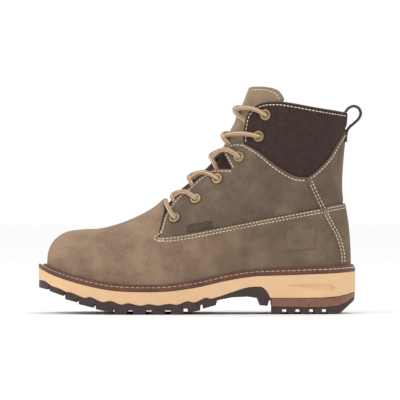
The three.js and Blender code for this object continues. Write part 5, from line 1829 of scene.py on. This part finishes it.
@dataclass
class Thread:
    """Rows of stitches: each one a small capsule with its ends sunk into the leather."""

    length: float = 2.5
    gap: float = 0.75
    radius: float = 0.46

    def row(self, line: Array, side: float, lift: Array | float) -> tuple[Array, Array]:
        """Return a row's mesh along a line of the side view, laid on one half of the skin."""
        place, normal = SKIN.frame(line, side)
        return self.on(place + normal * np.asarray(lift, float).reshape(-1, 1), normal)

    def on(self, place: Array, normal: Array, length: float | None = None) -> tuple[Array, Array]:
        """Return stitches along a path in space with its normals.

        Each stitch has five rings of six; the ring's centre dips at both ends by the square of
        its place along the stitch.

        Args:
            place: points of the path.
            normal: the normal at each point.
            length: a stitch's length, or the thread's own.

        Returns:
            Vertices and quads.
        """
        size = length or self.length
        far = np.concatenate([[0], np.cumsum(np.linalg.norm(np.diff(place, axis=0), axis=1))])
        count = max(1, int(far[-1] // (size + self.gap)))
        pitch = far[-1] / count
        middles = (np.arange(count) + 0.5) * pitch
        u = np.array([-1.0, -0.8, 0.0, 0.8, 1.0])
        at = middles[:, None] + u * (pitch - self.gap) / 2
        read = lambda data: np.stack([np.interp(at, far, data[:, k]) for k in range(3)], axis=-1)
        centre, up = read(place), read(normal)
        up /= np.linalg.norm(up, axis=-1, keepdims=True)
        along = centre[:, -1] - centre[:, 0]
        along /= np.maximum(np.linalg.norm(along, axis=-1, keepdims=True), 1e-9)
        across = np.cross(along[:, None], up)
        across /= np.maximum(np.linalg.norm(across, axis=-1, keepdims=True), 1e-9)
        width = self.radius * np.array([0.45, 0.9, 1.0, 0.9, 0.45])
        sink = -0.42 * u**4
        a = 2 * np.pi * np.arange(6) / 6
        ring = np.cos(a)[:, None] * across[:, :, None] + np.sin(a)[:, None] * up[:, :, None]
        verts = centre[:, :, None] + sink[None, :, None, None] * up[:, :, None] + width[None, :, None, None] * ring
        one = np.concatenate([
            grid_faces(5, 6, closed=True), [[0, 1, 2, 3], [0, 3, 4, 5], [27, 26, 25, 24], [29, 28, 27, 24]],
        ])
        faces = (one[None] + 30 * np.arange(count)[:, None, None]).reshape(-1, 4)
        flat = verts.reshape(-1, 3)
        if len(flat):
            faces = outward(flat[:30], one)[None] + 30 * np.arange(count)[:, None, None]
        return flat, faces.reshape(-1, 4)

    def build(self) -> None:
        """Sew the upper, the tongue and the welt."""
        rows: list[tuple[Array, Array]] = []
        corner = np.array(
            [(-30.6, 78.5), (-33.2, 74), (-36, 71.2), (-38.4, 69.9), (-38.6, 67.6), (-35.6, 66.6), (-30, 67.0)]
        )
        double = [(shifted(VAMP_SEAM, -1.5), 0.35), (shifted(VAMP_SEAM, -4.0), 0.25)]
        rear = [(shifted(REAR_SEAM, -1.6), 0.3), (shifted(REAR_SEAM, -4.2), 0.3)]
        counter = [(self._clear(shifted(COUNTER_FRONT, -1.6)), 0.75), (self._clear(shifted(COUNTER_FRONT, -4.2)), 0.6)]
        top = [(self._to_back(shifted(COUNTER_TOP, -1.6)), 0.7), (self._to_back(shifted(COUNTER_TOP, -4.2)), 0.55)]
        single = [
            (shifted(FACING_LOW, -2.0)[4:], 0.05), (shifted(NOTCH_LOW, -2.0)[4:], 0.05),
            (shifted(NOTCH_HIGH, -2.0)[:-4], 0.05),
            (shifted(FACING_TIP, -2.0)[3:], 0.05), (shifted(COLLAR_SEAM, -1.9), 0.35),
            (shifted(COLLAR_SEAM_BACK, -1.9)[:-3], 0.45), (shifted(COLLAR_FRONT, -2.3)[2:-1], 0.0),
            (self._to_back(shifted(COLLAR_TOP, -2.6)[3:]), 0.1), (catmull_rom(corner, 60), 0.2),
        ]
        for side in (-1, 1):
            for line, lift in double + rear + counter + top + single:
                rows.append(self.row(line, side, lift))
        verts, faces = merge(rows)
        make_piece("upper_stitches", verts, faces, [THREAD], sharp=80)
        verts, faces = merge(Tongue().stitches(self))
        make_piece("tongue_stitches", verts, faces, [THREAD], body="tongue", sharp=80)
        self._welt_row()

    @staticmethod
    def _clear(line: Array) -> Array:
        """Return the part of a line that stands clear of the welt's rib."""
        return line[line[:, 1] > SKIN.sole_z(line[:, 0]) + 7.2]

    @staticmethod
    def _to_back(line: Array) -> Array:
        """Return a line cut where it reaches the back outline."""
        return line[SKIN.depth(line)[1] > 0.4]

    def _welt_row(self) -> None:
        """Sew the welt: one row of longer stitches along the middle of its ledge."""
        plan = Plan()
        reach = (SKIN.welt_reach(plan.skin_x) - 0.9 + 3.6) / 2
        halves = []
        for side in (-1, 1):
            xy = plan.outline(side, reach)
            halves.append(np.column_stack([xy, SKIN.sole_z(xy[:, 0]) + 3.75]))
        path = np.concatenate([halves[0], halves[1][-2:0:-1]])
        verts, faces = self.on(path, np.tile([0.0, 0.0, 1.0], (len(path), 1)), 4.0)
        make_piece("welt_stitches", verts, faces, [THREAD], sharp=80)


@dataclass
class SideTag:
    """The small ribbed patch sewn low on the lateral facing, with a welded line over it."""

    thick: float = 0.9

    def build(self) -> None:
        """Make the patch and the line along its top and rear edges."""
        patch = Cut(
            "tag", Line(((-9, 74), (14, 78.2))), Line(((-10, 80.4), (13, 84.6))), Line(((-9, 74), (-10, 80.4))),
            Line(((14, 78.2), (13, 84.6))), Side.LATERAL, ("free",) * 4, shares(24, 0.03, 0.03), shares(12, 0.1, 0.1),
            finish=TAG, lift=0.75,
        )
        verts, faces, rim = patch.build(thick=self.thick + 1.1)
        make_piece("side_patch", verts, faces, [TAG], replaces=["side_tag"], edge=rim)
        line = catmull_rom(((-10.6, 78.6), (-9.6, 80.6), (-4, 81.8), (5, 83.6), (12.2, 85), (13.6, 83.8)), 60)
        verts, faces, _ = tube(SKIN.point(line, -1, 0.25), 0.62, 10)
        make_piece("side_patch_line", verts, outward(verts, faces), [TAG_LINE])


@dataclass
class PressedPanel:
    """A plain panel pressed with a hot plate low on the lateral heel, with no mark on it."""

    low: float = 57.5
    high: float = 76.5
    left: float = 80.0
    right: float = 107.0
    lean: float = 0.9

    def build(self) -> None:
        """Lay one thin slab on the skin; its rim rolls into the hide."""
        a, b, c, d = ((self.left, self.low - self.lean), (self.right, self.low + self.lean),
                      (self.left, self.high - self.lean), (self.right, self.high + self.lean))
        patch = Cut("panel", Line((a, b)), Line((c, d)), Line((a, c)), Line((b, d)), Side.LATERAL, ("free",) * 4,
                    shares(40, 0.03, 0.03), shares(28, 0.04, 0.04), lift=0.6)
        verts, faces, _ = patch.build(thick=1.2)
        make_piece("pressed_panel", verts, faces, [STAMPED], edge=np.full(len(verts), 9.0))


# ---- Studio ---------------------------------------------------------------------------------


@dataclass
class Studio:
    """A pale floor, soft light from all round and a long lens from the lateral side."""

    aim: tuple[float, float, float] = (-0.0005, 0.0, 0.1027)
    distance: float = 5.0
    elevation: float = 0.5
    frame_width: float = 0.364
    sensor: float = 36.0

    def camera(self) -> None:
        """Set the camera: its lens gives the frame's width at the aim's distance."""
        data = bpy.data.cameras.new("camera")
        data.sensor_width = self.sensor
        data.lens = self.sensor * self.distance / self.frame_width
        data.clip_end = 50
        camera = bpy.data.objects.new("camera", data)
        e = math.radians(self.elevation)
        x, y, z = self.aim
        camera.location = (x, y - self.distance * math.cos(e), z + self.distance * math.sin(e))
        camera.rotation_euler = (math.pi / 2 - e, 0, 0)
        bpy.context.scene.collection.objects.link(camera)
        bpy.context.scene.camera = camera

    def light(self) -> None:
        """Light the boot from a broad sky, a key over the toe side and a fill behind."""
        world = bpy.data.worlds.new("studio")
        world.use_nodes = True
        world.node_tree.nodes["Background"].inputs["Color"].default_value = (1, 1, 1, 1)
        world.node_tree.nodes["Background"].inputs["Strength"].default_value = 1.0
        bpy.context.scene.world = world
        bpy.context.scene.view_settings.view_transform = "Standard"
        # Each lamp has a name, a place, the length of its side in metres and its power in watts.
        lamps = (
            ("key", (-1.3, -0.8, 1.4), 1.1, 9.0), ("fill", (1.1, -1.0, 0.6), 1.0, 1.0),
            ("rim", (0.2, 1.2, 1.4), 1.0, 3.0),
        )
        for name, place, size, power in lamps:
            data = bpy.data.lights.new(name, "AREA")
            data.size, data.energy = size, power
            lamp = bpy.data.objects.new(name, data)
            lamp.location = place
            toward = np.array([0, 0, 0.08]) - np.array(place)
            yaw = math.atan2(toward[1], toward[0]) - math.pi / 2
            tilt = math.atan2(-toward[2], math.hypot(toward[0], toward[1]))
            lamp.rotation_euler = (math.pi / 2 - tilt, 0, yaw)
            bpy.context.scene.collection.objects.link(lamp)

    def floor(self) -> None:
        """Lay a broad pale floor."""
        mesh = bpy.data.meshes.new("floor")
        r = 6.0
        mesh.from_pydata([(-r, -r, -0.0002), (r, -r, -0.0002), (r, r, -0.0002), (-r, r, -0.0002)], [], [(0, 1, 2, 3)])
        material = bpy.data.materials.new("floor_paint")
        material.use_nodes = True
        shader = material.node_tree.nodes["Principled BSDF"]
        shader.inputs["Base Color"].default_value = linear("fbfbfb")
        shader.inputs["Roughness"].default_value = 0.9
        mesh.materials.append(material)
        floor = bpy.data.objects.new("floor", mesh)
        bpy.context.scene.collection.objects.link(floor)
        floor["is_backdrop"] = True


HIDDEN = {
    "steel_toe_cap": STEEL, "toe_cap_edge": PLASTIC, "heel_stiffener": BOARD, "sole_filler": CORK,
    "steel_shank": STEEL, "insole_board": BOARD,
}


def dress_hidden() -> None:
    """Give each part that stays as the frame has it a finish of its own."""
    for name, finish in HIDDEN.items():
        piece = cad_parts[name]
        piece.data.materials.clear()
        piece.data.materials.append(finish.material())


def main() -> None:
    """Build the studio and the boot, and work out the two boxes."""
    logging.basicConfig(level=logging.INFO, format="%(message)s")
    studio = Studio()
    studio.camera()
    Laces().tails()
    Upper().build()
    Tongue().build()
    Laces().laced()
    Eyelets().build()
    SoleUnit().build()
    PullLoop().build()
    SideTag().build()
    PressedPanel().build()
    Thread().build()
    dress_hidden()
    studio.light()
    studio.floor()
    corners = lambda box: [list(map(float, c)) for c in box]
    {"cad": corners(CAD_BOX), "visual": corners(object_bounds())}


if __name__ == "__main__":
    main()
